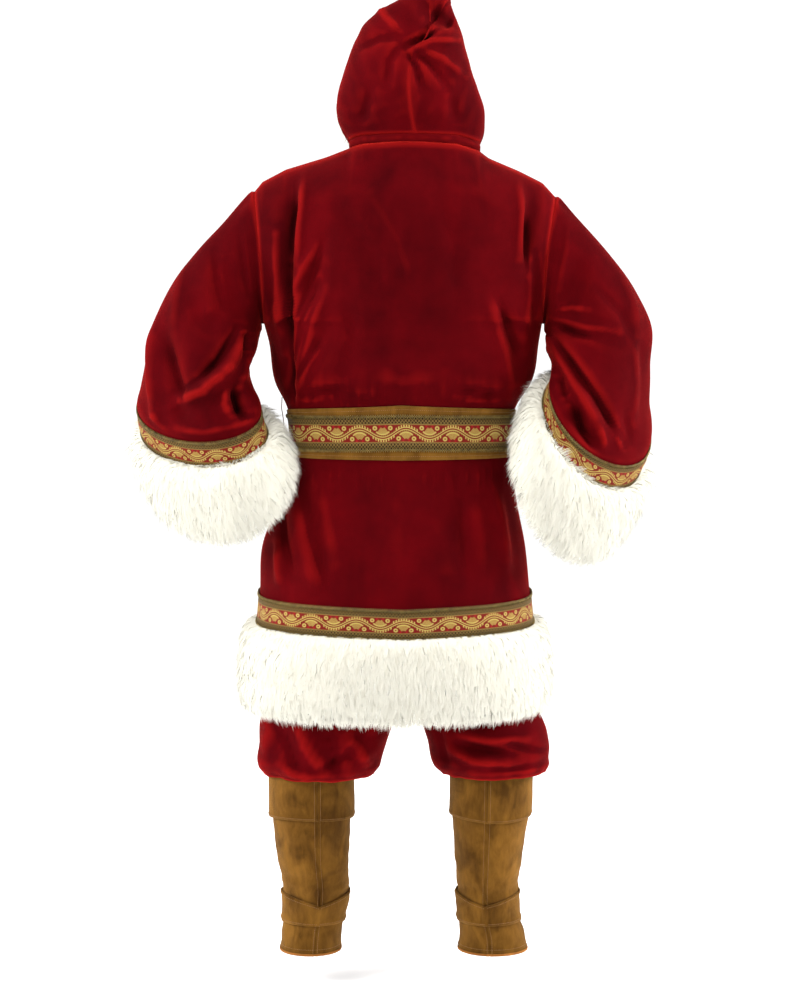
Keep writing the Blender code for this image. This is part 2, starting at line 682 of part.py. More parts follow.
def build_sleeve(side, sign, rings, folds):
    """A bell sleeve with its brocade band and its fur cuff."""
    grid = sleeve_grid(rings, sign, folds)
    loft("sleeve_" + side, grid, VELVET, wrap=True, wall=WALL)
    normals = grid_normals(grid, True)
    first, last = SLEEVE_STEPS.index(TRIM_STEPS[0]), SLEEVE_STEPS.index(TRIM_STEPS[1])
    trim = grid[first:last + 1] + normals[first:last + 1] * CUFF_TRIM_OFF
    loft("cuff_trim_" + side, trim, BROCADED, wrap=True, wall=BROCADE, outward=True)
    fur = []
    upper, lower = grid[last], grid[-1]
    for j in range(RING):
        line, out = grid[last:, j], normals[last:, j]
        run = lower[j] - upper[j]
        ring = []
        for share, off in CUFF_FUR_SECTION:
            at = min(share, 1.0) * (len(line) - 1)
            point = np.array([np.interp(at, range(len(line)), line[:, k]) for k in range(3)])
            away = np.array([np.interp(at, range(len(line)), out[:, k]) for k in range(3)])
            away /= np.linalg.norm(away)
            ring.append(point + away * off + run * max(0.0, share - 1.0))
        fur.append(ring)
    loft("cuff_fur_" + side, fur, FURRY, wrap=True, close=True)


def hood_point(share, turn, sign):
    """A point of one hood half; turn goes from the centre back seam to the face opening."""
    half = column(HOOD_SECTIONS, 1, share)
    middle = column(HOOD_SECTIONS, 2, share)
    back = column(HOOD_SECTIONS, 3, share)
    if turn < HOOD_BEND:
        angle = turn / HOOD_BEND * math.pi / 2
        x, y = half * math.sin(angle), back * math.cos(angle)
        foot = NECK_CENTRE + sign * NECK_HALF_WIDTH * math.sin(angle)
    else:
        along = (turn - HOOD_BEND) / (1 - HOOD_BEND)
        angle = math.radians(HOOD_CLOSE) * along
        apart = ease(share / 0.45)
        x = half * (math.cos(angle) + ((1 - 0.12 * along * along) - math.cos(angle)) * apart)
        y = -NECK_FRONT * math.sin(angle) + (HOOD_FACE * along + NECK_FRONT * math.sin(angle)) * apart
        foot = NECK_CENTRE + sign * NECK_HALF_WIDTH * math.cos(angle)
    low = body_top(foot, turn < HOOD_BEND) + NECK_STAND
    h = low + (column(HOOD_RIDGE, 1, turn) - low) * share
    return middle + sign * x, y, h


def hood_grid(sign):
    """All the points of one hood half, with the flopped point's hollow and lip."""
    turns = np.linspace(0, 1, HOOD_COLUMNS + 1)
    grid = np.array([[hood_point(share, turn, sign) for turn in turns] for share in HOOD_ROWS])
    for i in range(3, len(grid)):
        for j in range(len(turns)):
            x, y, h = grid[i, j]
            push = fold_push(x, h, HOOD_FOLDS) * ease((y + 40.0) / 70.0)
            grid[i, j, 1] += push
            grid[i, j, 2] += min(push, 0.0) * 0.25
    grid[:, 0, 0] += sign * RIDGE_GAP
    grid[-1, 1:, 0] += sign * RIDGE_GAP
    return grid


def build_hood():
    """Two hood halves and the fur round the face opening."""
    grids = {sign: hood_grid(sign) for sign in (1, -1)}
    loft("hood_left", grids[1], VELVET, wall=WALL)
    # From the top down, so that its faces split along the fur's own diagonals.
    loft("hood_right", grids[-1][::-1], VELVET, wall=WALL)
    rings = []
    for sign in (1, -1):
        grid = grids[sign]
        normals = grid_normals(grid, False)
        edge = []
        for i in range(len(grid)):
            points = grid[i, [-1, -2, -3]].copy()
            out = normals[i, [-1, -2, -3]].copy()
            if i == len(grid) - 1:
                points[:, 0] -= sign * RIDGE_GAP
                out[:] = (0.0, 0.0, 1.0)
            edge.append(fur_edge(points, out))
        rings.append(edge)
    loft("hood_fur", rings[0] + rings[1][-2::-1], FURRY, wrap=True)
    return grids


def fur_edge(points, out):
    """Section of the fur over an edge: three points back from the edge, with their normals."""
    ahead = (points[0] - points[1]) / np.linalg.norm(points[0] - points[1])
    return [points[back] + out[back] * off + ahead * front for back, off, front in FACE_FUR_SECTION]


def neck_edge(panels):
    """The coat's upper edge round the neck, from the left front over the back to the right."""
    back, left, right = (panel[-1] for panel in panels)
    reach = FRONT_SHOULDERS[1]
    return np.concatenate([
        left[1:FRONT_NECK[0]],
        back[BACK_SHOULDERS[0]:BACK_SHOULDERS[0] + NECK_COLUMNS + 1],
        right[reach + 1:-1],
    ])


def neck_angle(point):
    """Where a point lies round the neck, 0 at the centre back."""
    return math.atan2((point[0] - NECK_CENTRE) / NECK_HALF_WIDTH,
                      point[1] / (NECK_BACK if point[1] > 0 else NECK_FRONT))


def build_neck_band(panels, grids):
    """The narrow stand between the coat's neckline and the hood, open at the front."""
    hood = np.concatenate([grids[1][0, ::-1], grids[-1][0]])
    places = np.array([neck_angle(point) for point in hood])
    order = np.argsort(places)
    foot = [point for point in neck_edge(panels) if abs(neck_angle(point)) < places.max()]
    top = []
    for point in foot:
        angle = neck_angle(point)
        top.append([np.interp(angle, places[order], hood[order, k]) for k in range(3)])
    foot, top = np.array(foot), np.array(top)
    foot[:, 2] += 2 * SEAM
    top[:, 2] -= 4 * SEAM
    loft("neck_band", [foot, top], VELVET, wall=WALL)


def leg_point(legs, sign, height, turn):
    """A point of a trouser leg or half seat; turn goes from the inner back edge round outside."""
    angle = turn * 2 * math.pi
    seat = ease((height - CROTCH[0]) / (CROTCH[1] - CROTCH[0]))
    h = min(height, CROTCH[0])
    middle, half = column(legs, 1, h), column(legs, 2, h)
    depth = column(legs, 3 if turn < 0.5 else 4, h)
    leg = np.array([middle - sign * half * math.cos(angle), depth * math.sin(angle)])
    top = max(height, CROTCH[1])
    wide, deep = superellipse(turn * 2 - 1)
    size = column(SEAT, 1, top)
    depth = column(SEAT, 2 if turn < 0.5 else 3, top)
    bowl = np.array([sign * size * deep, -math.copysign(depth, turn - 0.5) * abs(wide)])
    x, y = leg + (bowl - leg) * seat
    return x, y, height


def build_trousers():
    """Two trouser halves, each a leg and half the seat, and the waistband."""
    turns = np.linspace(0, 1, LEG_COLUMNS + 1)
    bands = []
    for side, sign, legs in (("left", 1, LEFT_LEG), ("right", -1, RIGHT_LEG)):
        grid = np.array([[leg_point(legs, sign, height, turn) for turn in turns] for height in LEG_ROWS])
        for i, height in enumerate(LEG_ROWS):
            gap = LEG_GAP
            if height < CROTCH[0] + 5:
                grid[i, 0, 1] += gap
                grid[i, -1, 1] -= gap
            else:
                grid[i, [0, -1], 0] = sign * gap
        loft("trouser_" + side, grid, VELVET, wall=WALL)
        bands.append(grid[-1])
    ring = np.concatenate([bands[0], bands[1][::-1]])
    ring[0, 0] = ring[len(bands[0]) - 1, 0] = 1.0
    ring[len(bands[0]), 0] = ring[-1, 0] = -1.0
    top = ring.copy()
    ring[:, 2] += SEAM
    top[:, 2] = WAISTBAND_TOP
    loft("waistband", [ring, top], VELVET, wrap=True, wall=SUEDE)


def boot_ring(sections, height):
    """One level ring of a boot cover."""
    middle, half = column(sections, 1, height), column(sections, 2, height)
    ring = []
    for j in range(BOOT_COLUMNS):
        angle = j / BOOT_COLUMNS * 2 * math.pi
        depth = column(sections, 3 if math.cos(angle) > 0 else 4, height)
        ring.append((middle + half * math.sin(angle), depth * math.cos(angle), height))
    return ring


def build_boot(side, sections):
    """A boot cover: tube, turned-down cuff and ankle strap."""
    grid = np.array([boot_ring(sections, height) for height in BOOT_ROWS])
    loft("boot_" + side, grid, SUEDED, wrap=True, wall=SUEDE)
    normals = grid_normals(grid, True)
    rows = [BOOT_ROWS.index(height) for height in CUFF_ROWS]
    cuff = grid[rows] + normals[rows] * BOOT_CUFF_OFF
    loft("boot_cuff_" + side, cuff, SUEDED, wrap=True, wall=SUEDE, outward=True)
    strap = []
    for j in range(BOOT_COLUMNS):
        line, out = grid[:, j], normals[:, j].mean(axis=0)
        out = np.array([out[0], out[1], 0.0]) / np.linalg.norm(out[:2])
        level = abs(math.sin(j / BOOT_COLUMNS * 2 * math.pi))
        strap.append([at_height(line, height + STRAP_RISE * level * (height - STRAP_ROWS[0])
                                / (STRAP_ROWS[-1] - STRAP_ROWS[0])) + out * STRAP_OFF
                      for height in STRAP_ROWS])
    strap = np.array(strap).transpose(1, 0, 2)
    loft("boot_strap_" + side, strap, SUEDED, wrap=True, wall=SUEDE, outward=True)


def main():
    """Build the whole suit in its own collection."""
    for old in list(bpy.data.objects):
        bpy.data.objects.remove(old, do_unlink=True)
    bpy.context.scene.collection.children.link(bpy.data.collections.new(SUIT))
    panels = build_body()
    build_hem(panels)
    build_belt(panels)
    build_sleeve("left", 1, LEFT_RINGS, LEFT_SLEEVE_FOLDS)
    build_sleeve("right", -1, RIGHT_RINGS, RIGHT_SLEEVE_FOLDS)
    build_neck_band(panels, build_hood())
    build_trousers()
    build_boot("left", LEFT_BOOT)
    build_boot("right", RIGHT_BOOT)


main()
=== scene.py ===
"""Looks for a hooded velvet Santa suit with fur, brocade bands, belt, trousers and boot covers.

Sizes are in millimetres. X runs to the wearer's left, the front faces -Y, and heights are
measured up from the floor the wearer would stand on. The origin is at the base of the neck.
"""

from __future__ import annotations

import logging
import math
from dataclasses import dataclass, field
from enum import Enum

import bpy
import numpy as np
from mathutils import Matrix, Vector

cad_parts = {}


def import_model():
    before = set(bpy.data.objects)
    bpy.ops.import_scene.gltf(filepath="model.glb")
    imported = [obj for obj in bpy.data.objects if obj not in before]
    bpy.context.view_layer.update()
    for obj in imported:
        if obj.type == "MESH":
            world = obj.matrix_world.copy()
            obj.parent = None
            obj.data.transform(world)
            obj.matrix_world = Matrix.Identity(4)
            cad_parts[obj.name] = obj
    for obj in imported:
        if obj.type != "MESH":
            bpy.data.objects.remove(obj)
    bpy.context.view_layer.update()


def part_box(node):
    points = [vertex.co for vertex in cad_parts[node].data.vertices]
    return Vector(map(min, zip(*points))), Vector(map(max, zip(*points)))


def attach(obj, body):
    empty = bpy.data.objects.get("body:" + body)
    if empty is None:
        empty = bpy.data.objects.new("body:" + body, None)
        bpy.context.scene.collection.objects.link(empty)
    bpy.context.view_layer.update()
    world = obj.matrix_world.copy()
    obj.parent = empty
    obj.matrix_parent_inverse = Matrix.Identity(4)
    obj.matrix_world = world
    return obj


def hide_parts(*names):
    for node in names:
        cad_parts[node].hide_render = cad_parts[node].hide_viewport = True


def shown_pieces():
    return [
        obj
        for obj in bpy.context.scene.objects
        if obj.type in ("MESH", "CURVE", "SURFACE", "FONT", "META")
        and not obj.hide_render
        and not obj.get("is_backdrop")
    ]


LOG = logging.getLogger("santa_suit")

Array = np.ndarray
Table = tuple[tuple[float, ...], ...]
Colour = tuple[float, float, float]

MM = 0.001
NECK_HEIGHT = 1580.0      # the origin, above the floor
WALL = 1.6                # velvet
SUEDE_WALL = 2.0
BROCADE_WALL = 1.4

# The coat's body: height, half width to the left and right, depth behind and in front.
BODY_SECTIONS: Table = (
    (530.0, 285.0, 254.0, 198.0, 196.0),
    (640.0, 281.0, 251.0, 196.0, 192.0),
    (756.0, 272.0, 241.0, 188.0, 184.0),
    (847.0, 267.0, 232.0, 176.0, 174.0),
    (930.0, 236.0, 216.0, 154.0, 160.0),
    (1010.0, 211.0, 207.0, 124.0, 148.0),
    (1058.0, 211.0, 208.0, 120.0, 146.0),
    (1110.0, 220.0, 214.0, 125.0, 150.0),
    (1150.0, 240.0, 240.0, 140.0, 160.0),
    (1235.0, 254.0, 257.0, 148.0, 160.0),
    (1265.0, 262.0, 262.0, 150.0, 158.0),
    (1400.0, 280.0, 280.0, 158.0, 146.0),
    (1500.0, 288.0, 288.0, 142.0, 114.0),
    (1550.0, 288.0, 288.0, 118.0, 94.0),
    (1600.0, 288.0, 288.0, 96.0, 84.0),
)

# The armhole seam: share of its height, distance across to the left and to the right.
ARMHOLE: Table = (
    (0.00, 262.0, -262.0),
    (0.25, 264.0, -264.0),
    (0.50, 267.0, -268.0),
    (0.75, 272.0, -276.0),
    (1.00, 279.0, -286.0),
)

# The shoulder and back neck line: distance across, height.
SHOULDER_LINE: Table = (
    (-286.0, 1503.0),
    (-262.0, 1529.0),
    (-218.0, 1551.0),
    (-161.0, 1575.0),
    (-144.0, 1588.0),
    (-100.0, 1599.0),
    (0.0, 1601.0),
    (75.0, 1599.0),
    (100.0, 1594.0),
    (144.0, 1577.0),
    (220.0, 1554.0),
    (264.0, 1531.0),
    (279.0, 1513.0),
)

# Folds: upper end, middle and lower end as (across, height), then width and push outward.
# The first rows are the long folds that the cut makes, the rest are creases.
BACK_FOLDS = (
    ((203, 1530), (214, 1420), (222, 1309), 19, -13),
    ((222, 1309), (232, 1208), (218, 1132), 19, -12),
    ((248, 1370), (249, 1330), (252, 1292), 15, -7),
    ((150, 1395), (175, 1350), (198, 1309), 18, -6),
    ((148, 1355), (176, 1290), (200, 1200), 18, -7),
    ((144, 1248), (170, 1195), (198, 1140), 18, -6),
    ((-232, 1533), (-239, 1480), (-232, 1378), 19, -10),
    ((-249, 1398), (-249, 1326), (-239, 1258), 17, -9),
    ((-177, 1309), (-205, 1226), (-222, 1140), 20, -7),
    ((60, 1180), (0, 1160), (-70, 1180), 24, 5),
    ((198, 942), (182, 868), (150, 733), 20, 9),
    ((246, 868), (251, 820), (254, 777), 16, -8),
    ((90, 930), (70, 860), (66, 780), 26, -4),
    ((-60, 930), (-76, 850), (-80, 780), 26, 4),
    ((-190, 930), (-214, 850), (-220, 777), 19, -7),
    ((184, 1545), (192, 1450), (196, 1375), 11, 8.8),
    ((196, 1520), (209, 1440), (214, 1370), 6, -12.1),
    ((214, 1370), (217, 1290), (214, 1210), 6, -15.4),
    ((214, 1210), (216, 1150), (204, 1118), 6, -14.3),
    ((236, 1430), (236, 1320), (230, 1210), 9, 10),
    ((144, 1419), (185, 1315), (211, 1258), 8, -7.7),
    ((159, 1341), (185, 1284), (212, 1165), 7, -9.9),
    ((168, 1320), (188, 1262), (204, 1190), 8, 8.1),
    ((144, 1252), (175, 1205), (203, 1153), 7, -7.7),
    ((150, 1236), (178, 1190), (200, 1138), 9, 6.9),
    ((190, 1116), (112, 1130), (30, 1119), 6, -6.6),
    ((-230, 1480), (-231, 1420), (-230, 1366), 6, -12.1),
    ((-246, 1398), (-253, 1351), (-262, 1304), 6, -9.9),
    ((-179, 1304), (-200, 1252), (-224, 1195), 7, -9.9),
    ((160, 1405), (186, 1362), (208, 1322), 9, 6.2),
    ((142, 1330), (170, 1260), (190, 1170), 10, 6.2),
    ((-214, 1540), (-221, 1470), (-214, 1385), 11, 8.1),
    ((-236, 1380), (-238, 1310), (-226, 1240), 9, 6.2),
    ((-164, 1290), (-190, 1215), (-206, 1150), 10, 6.2),
    ((182, 1132), (150, 1141), (104, 1146), 8, -8.8),
    ((196, 1122), (160, 1126), (120, 1128), 8, 8.1),
    ((-96, 1146), (-140, 1138), (-182, 1128), 8, -7.2),
    ((-110, 1130), (-150, 1124), (-196, 1121), 8, 6.2),
    ((40, 1150), (0, 1143), (-50, 1149), 12, -3.5),
    ((120, 1480), (60, 1400), (30, 1320), 15, -3),
    ((60, 1500), (10, 1420), (-20, 1330), 13, 2.5),
    ((-60, 1510), (-90, 1420), (-100, 1300), 15, -3),
    ((100, 1300), (90, 1240), (110, 1180), 13, -3),
    ((228, 930), (222, 870), (206, 800), 9, -10.5),
    ((182, 950), (166, 880), (138, 790), 9, -8.8),
    ((236, 860), (232, 810), (226, 770), 10, 10),
    ((150, 960), (138, 900), (124, 830), 15, 6),
    ((20, 960), (8, 890), (4, 800), 20, 2.4),
    ((-130, 950), (-142, 880), (-150, 800), 16, 5),
    ((-170, 960), (-186, 900), (-196, 830), 11, 8.1),
    ((-110, 940), (-114, 880), (-118, 820), 10, -5.5),
)
FRONT_FOLDS = (
    ((210, 1500), (216, 1400), (224, 1300), 20, -9),
    ((-212, 1490), (-220, 1400), (-226, 1300), 20, -10),
    ((130, 1330), (165, 1240), (196, 1150), 20, -7),
    ((-120, 1340), (-160, 1240), (-190, 1150), 20, -6),
    ((170, 940), (160, 860), (150, 770), 22, 8),
    ((-165, 930), (-172, 850), (-176, 770), 22, -7),
    ((70, 930), (62, 860), (60, 780), 24, -5),
    ((192, 1500), (200, 1400), (208, 1310), 10, 7.5),
    ((-194, 1490), (-204, 1410), (-210, 1320), 10, 7.5),
    ((118, 1310), (150, 1230), (182, 1160), 10, 5.6),
    ((-108, 1320), (-146, 1230), (-178, 1160), 10, 5.6),
    ((60, 1150), (110, 1140), (170, 1130), 8, -6.6),
    ((-50, 1148), (-100, 1139), (-160, 1129), 8, -6.6),
    ((120, 950), (112, 880), (106, 800), 12, 6),
    ((-110, 950), (-116, 870), (-120, 790), 12, 6),
    ((-60, 940), (-54, 870), (-52, 800), 14, -4.5),
    ((210, 930), (204, 860), (198, 790), 9, -8.2),
)

# Sleeve rings: step, outer (across, height), inner (across, height), middle depth,
# half depth, sag of the back side, its shift inward, and how far the inner side leans back.
LEFT_RINGS: Table = (
    (1.0, 331, 1463, 267, 1257, 5, 82, 0, 0, 0),
    (2.0, 393, 1395, 269, 1248, 14, 90, 4, 0, 0),
    (3.0, 443, 1326, 270, 1238, 24, 97, 10, 0, 5),
    (4.0, 471, 1258, 276, 1214, 34, 103, 22, 5, 10),
    (5.0, 485, 1189, 287, 1188, 42, 104, 36, 12, 20),
    (6.0, 494, 1144, 280, 1152, 46, 98, 46, 18, 30),
    (7.0, 500, 1098, 266, 1108, 48, 92, 56, 22, 38),
    (8.0, 493, 1053, 254, 1068, 48, 92, 60, 25, 42),
    (9.0, 453, 952, 228, 1000, 52, 97, 86, 28, 45),
)
RIGHT_RINGS: Table = (
    (1.0, -327, 1463, -266, 1256, 5, 82, 0, 0, 0),
    (2.0, -388, 1395, -268, 1248, 14, 90, 4, 0, 0),
    (3.0, -437, 1326, -268, 1240, 24, 97, 10, 0, 5),
    (4.0, -468, 1258, -269, 1214, 34, 103, 22, 5, 10),
    (5.0, -466, 1180, -276, 1196, 42, 102, 38, 14, 20),
    (6.0, -464, 1110, -276, 1180, 46, 98, 54, 22, 30),
    (7.0, -464, 1030, -276, 1160, 50, 94, 68, 28, 36),
    (8.0, -448, 992, -262, 1133, 52, 92, 79, 28, 40),
    (9.0, -397, 892, -228, 1036, 60, 95, 92, 30, 48),
)
LEFT_SLEEVE_FOLDS = (
    ((466, 1285), (462, 1200), (454, 1110), 17, 6),
    ((436, 1240), (424, 1170), (410, 1105), 17, -8),
    ((300, 1265), (334, 1180), (402, 1135), 19, 9),
    ((330, 1400), (318, 1340), (300, 1285), 20, -7),
    ((390, 1330), (372, 1280), (330, 1255), 18, -6),
    ((467, 1276), (464, 1172), (459, 1096), 10, 11),
    ((461, 1110), (450, 1080), (427, 1056), 8, 7),
    ((444, 1250), (428, 1190), (407, 1132), 10, -12),
    ((424, 1116), (414, 1100), (396, 1092), 13, -7),
    ((296, 1246), (314, 1200), (334, 1166), 11, 14),
    ((324, 1180), (364, 1142), (412, 1126), 12, 15),
    ((306, 1256), (338, 1198), (374, 1162), 9, -17),
    ((374, 1162), (394, 1150), (420, 1140), 9, -7),
    ((286, 1252), (290, 1232), (296, 1214), 9, -15),
    ((282, 1212), (292, 1180), (300, 1152), 8, 8),
    ((310, 1152), (304, 1122), (296, 1096), 10, -23),
    ((297, 1102), (284, 1094), (272, 1096), 7, -9),
    ((326, 1150), (328, 1120), (318, 1098), 9, 8),
    ((412, 1070), (364, 1064), (318, 1074), 10, 8),
    ((318, 1074), (292, 1082), (270, 1100), 9, 7),
    ((290, 1480), (284, 1400), (276, 1330), 8, 6),
    ((304, 1470), (296, 1400), (284, 1320), 7, -7),
    ((350, 1410), (344, 1350), (330, 1300), 9, -5),
    ((410, 1370), (420, 1310), (424, 1250), 11, 4.5),
)
RIGHT_SLEEVE_FOLDS = (
    ((-276, 1258), (-334, 1170), (-360, 1112), 19, 8),
    ((-280, 1262), (-340, 1262), (-400, 1236), 18, -6),
    ((-330, 1400), (-316, 1340), (-300, 1285), 20, -7),
    ((-440, 1260), (-446, 1180), (-440, 1100), 17, -6),
    ((-266, 1256), (-350, 1136), (-410, 1046), 8, -17),
    ((-270, 1240), (-318, 1147), (-360, 1074), 9, 9),
    ((-360, 1074), (-366, 1056), (-369, 1036), 8, 8),
    ((-310, 1126), (-330, 1072), (-356, 1022), 11, -24),
    ((-286, 1176), (-292, 1150), (-300, 1130), 8, -12),
    ((-278, 1266), (-312, 1250), (-352, 1244), 7, -9),
    ((-276, 1276), (-330, 1262), (-396, 1250), 9, 6),
    ((-286, 1290), (-310, 1296), (-340, 1292), 8, 5),
    ((-390, 1090), (-398, 1060), (-404, 1036), 8, 6),
    ((-410, 1100), (-420, 1070), (-426, 1046), 8, -7),
    ((-430, 1240), (-436, 1160), (-430, 1080), 10, 5),
    ((-290, 1480), (-282, 1400), (-274, 1330), 9, -8),
    ((-304, 1470), (-298, 1400), (-284, 1330), 9, 7),
    ((-400, 1370), (-424, 1310), (-440, 1240), 11, 4.5),
    ((-360, 1330), (-400, 1290), (-430, 1230), 10, -5),
)

# The hood's sections: share of its height, half width, middle, back.
HOOD_SECTIONS: Table = (
    (0.00, 122.0, -22.0, 85.0),
    (0.10, 135.0, -18.0, 90.0),
    (0.22, 139.0, -14.0, 100.0),
    (0.36, 130.0, -11.0, 108.0),
    (0.50, 118.0, -10.0, 112.0),
    (0.62, 107.0, -11.0, 110.0),
    (0.72, 98.0, -14.0, 104.0),
    (0.80, 87.0, -18.0, 96.0),
    (0.87, 71.0, -25.0, 88.0),
    (0.93, 54.0, -35.0, 80.0),
    (0.97, 40.0, -44.0, 73.0),
    (1.00, 0.0, -48.0, 66.0),
)
HOOD_RIDGE: Table = (     # share of the way from back to face, height of the top seam
    (0.00, 1802.0),
    (0.25, 1858.0),
    (0.50, 1880.0),
    (0.75, 1864.0),
    (1.00, 1836.0),
)
HOOD_FOLDS = (
    ((-48, 1846), (-72, 1830), (-96, 1822), 20, -30),
    ((-6, 1775), (-60, 1797), (-108, 1800), 15, 9),
    ((-6, 1776), (-40, 1792), (-66, 1806), 6, -15.2),
    ((-10, 1764), (-52, 1780), (-100, 1786), 7, 8.8),
    ((-4, 1770), (-24, 1736), (-36, 1694), 7, -8.8),
    ((-14, 1772), (-50, 1742), (-82, 1700), 8, -8.8),
    ((6, 1776), (24, 1746), (30, 1700), 8, -6.4),
    ((10, 1790), (44, 1790), (78, 1774), 9, -8.8),
    ((6, 1800), (30, 1826), (44, 1850), 9, 8.8),
    ((-30, 1768), (-70, 1752), (-112, 1720), 8, 6.4),
    ((60, 1700), (70, 1660), (80, 1620), 11, -6.4),
    ((-90, 1690), (-96, 1650), (-100, 1615), 11, -6.4),
)

# Trouser legs: height, middle across, half width, depth behind, depth in front.
LEFT_LEG: Table = (
    (408.0, 158.0, 112.0, 108.0, 104.0),
    (428.0, 160.0, 118.0, 118.0, 112.0),
    (470.0, 152.0, 122.0, 122.0, 114.0),
    (510.0, 145.0, 128.0, 124.0, 114.0),
    (580.0, 138.0, 122.0, 120.0, 112.0),
    (700.0, 122.0, 112.0, 118.0, 112.0),
    (800.0, 106.0, 103.0, 122.0, 114.0),
)
RIGHT_LEG: Table = (
    (404.0, -176.0, 104.0, 106.0, 104.0),
    (430.0, -168.0, 112.0, 116.0, 110.0),
    (470.0, -163.0, 116.0, 120.0, 112.0),
    (505.0, -152.0, 116.0, 120.0, 112.0),
    (560.0, -136.0, 108.0, 118.0, 110.0),
    (700.0, -118.0, 108.0, 116.0, 110.0),
    (800.0, -104.0, 101.0, 122.0, 114.0),
)
SEAT: Table = (           # height, half width, depth behind, depth in front
    (860.0, 204.0, 138.0, 122.0),
    (930.0, 194.0, 130.0, 118.0),
    (1000.0, 178.0, 106.0, 110.0),
)
LEFT_LEG_FOLDS = (
    ((262, 560), (250, 500), (262, 440), 11, 8.8),
    ((236, 520), (214, 470), (196, 425), 9, -9.4),
    ((200, 530), (180, 480), (150, 430), 11, 10.6),
    ((150, 520), (130, 470), (124, 425), 10, -9.4),
    ((100, 500), (84, 470), (70, 440), 11, 10.6),
    ((230, 440), (200, 424), (160, 418), 10, 8.8),
    ((70, 520), (100, 462), (150, 436), 9, -7.7),
)
RIGHT_LEG_FOLDS = (
    ((-105, 484), (-150, 474), (-207, 461), 9, -11),
    ((-186, 488), (-220, 476), (-264, 459), 9, -11),
    ((-110, 500), (-160, 490), (-230, 486), 11, 10.6),
    ((-90, 470), (-130, 452), (-190, 440), 11, 10.6),
    ((-150, 440), (-200, 430), (-250, 432), 8, -7.7),
    ((-60, 520), (-74, 470), (-80, 430), 9, -7.7),
    ((-120, 540), (-140, 520), (-180, 515), 10, -7.7),
)

# Boot covers: height, middle across, half width, depth behind, depth in front.
LEFT_BOOT: Table = (
    (64.0, 178.0, 58.0, 62.0, 138.0),
    (95.0, 176.0, 58.0, 58.0, 112.0),
    (130.0, 172.0, 58.0, 57.0, 86.0),
    (180.0, 168.0, 63.0, 62.0, 72.0),
    (250.0, 173.0, 69.0, 72.0, 70.0),
    (330.0, 175.0, 76.0, 80.0, 74.0),
    (440.0, 176.0, 80.0, 82.0, 78.0),
)
RIGHT_BOOT: Table = (
    (64.0, -173.0, 66.0, 62.0, 138.0),
    (95.0, -172.0, 62.0, 58.0, 112.0),
    (130.0, -165.0, 58.0, 57.0, 86.0),
    (180.0, -163.0, 58.0, 62.0, 72.0),
    (250.0, -165.0, 65.0, 72.0, 70.0),
    (330.0, -168.0, 73.0, 80.0, 74.0),
    (440.0, -170.0, 78.0, 82.0, 78.0),
)


class Side(Enum):
    """The wearer's left or right, with the sign of X on that side."""

    LEFT = 1
    RIGHT = -1

    @property
    def word(self) -> str:
        """The side's word in piece names."""
        return self.name.lower()


class Hold(Enum):
    """How a sheet of cloth is held."""

    DRAPED = "draped"
    HUNG = "hung"
    GATHERED = "gathered"
    STRETCHED = "stretched"
    FOLDED = "folded"


def curve(table: Table, index: int, at: Array | float) -> Array:
    """Smooth curve through one column of a table.

    Args:
        table: Rows whose first column rises.
        index: The column to follow.
        at: Values of the first column.

    Returns:
        The column's values there.
    """
    xs = np.array([row[0] for row in table], float)
    ys = np.array([row[index] for row in table], float)
    slopes = np.gradient(ys, xs)
    at = np.asarray(at, float)
    k = np.clip(np.searchsorted(xs, at) - 1, 0, len(xs) - 2)
    span = xs[k + 1] - xs[k]
    t = np.clip((at - xs[k]) / span, 0.0, 1.0)
    return (
        (1 + 2 * t) * (1 - t) ** 2 * ys[k]
        + t * (1 - t) ** 2 * span * slopes[k]
        + t * t * (3 - 2 * t) * ys[k + 1]
        - t * t * (1 - t) * span * slopes[k + 1]
    )


def ease(value: Array | float) -> Array:
    """0 below 0, 1 above 1, smooth between."""
    t = np.clip(value, 0.0, 1.0)
    return t * t * (3 - 2 * t)


def fold_push(across: Array, height: Array, folds: tuple) -> Array:
    """How far a table of folds pushes the cloth.

    Args:
        across: X of the cloth's points.
        height: Their heights.
        folds: Rows of three line points, a width and a push.

    Returns:
        Distance outward, or inward where it is negative.
    """
    crease, faint, taper = 12.0, 0.38, 0.28    # widest crease, share left at a fold's ends, length of its fading
    total = np.zeros(np.broadcast(across, height).shape)
    for top, middle, bottom, width, push in folds:
        power = 1.4 if push < 0 and width < crease else 2.0
        best, place = np.full(total.shape, 1e9), np.zeros(total.shape)
        for part, (a, b) in enumerate(((top, middle), (middle, bottom))):
            run, rise = b[0] - a[0], b[1] - a[1]
            t = np.clip(((across - a[0]) * run + (height - a[1]) * rise) / (run * run + rise * rise), 0, 1)
            away = np.hypot(across - a[0] - t * run, height - a[1] - t * rise)
            place = np.where(away < best, (part + t) / 2, place)
            best = np.minimum(best, away)
        fade = faint + (1 - faint) * ease(np.minimum(place, 1 - place) / taper)
        total += push * fade * np.exp(-((best / width) ** power))
    return total


def unit(vectors: Array) -> Array:
    """The same directions, one unit long."""
    return vectors / np.maximum(np.linalg.norm(vectors, axis=-1, keepdims=True), 1e-9)


def grid_normals(grid: Array, wrap: bool) -> Array:
    """Unit normals of a grid of points, facing away from the middle of each row.

    Args:
        grid: Points, rows by columns by three.
        wrap: Whether each row's ends join.

    Returns:
        One normal a point.
    """
    along = np.gradient(grid, axis=0)
    if wrap:
        across = (np.roll(grid, -1, axis=1) - np.roll(grid, 1, axis=1)) / 2
    else:
        across = np.gradient(grid, axis=1)
    normals = unit(np.cross(along, across))
    middle = grid.mean(axis=1, keepdims=True)
    return -normals if ((grid - middle) * normals).sum() < 0 else normals


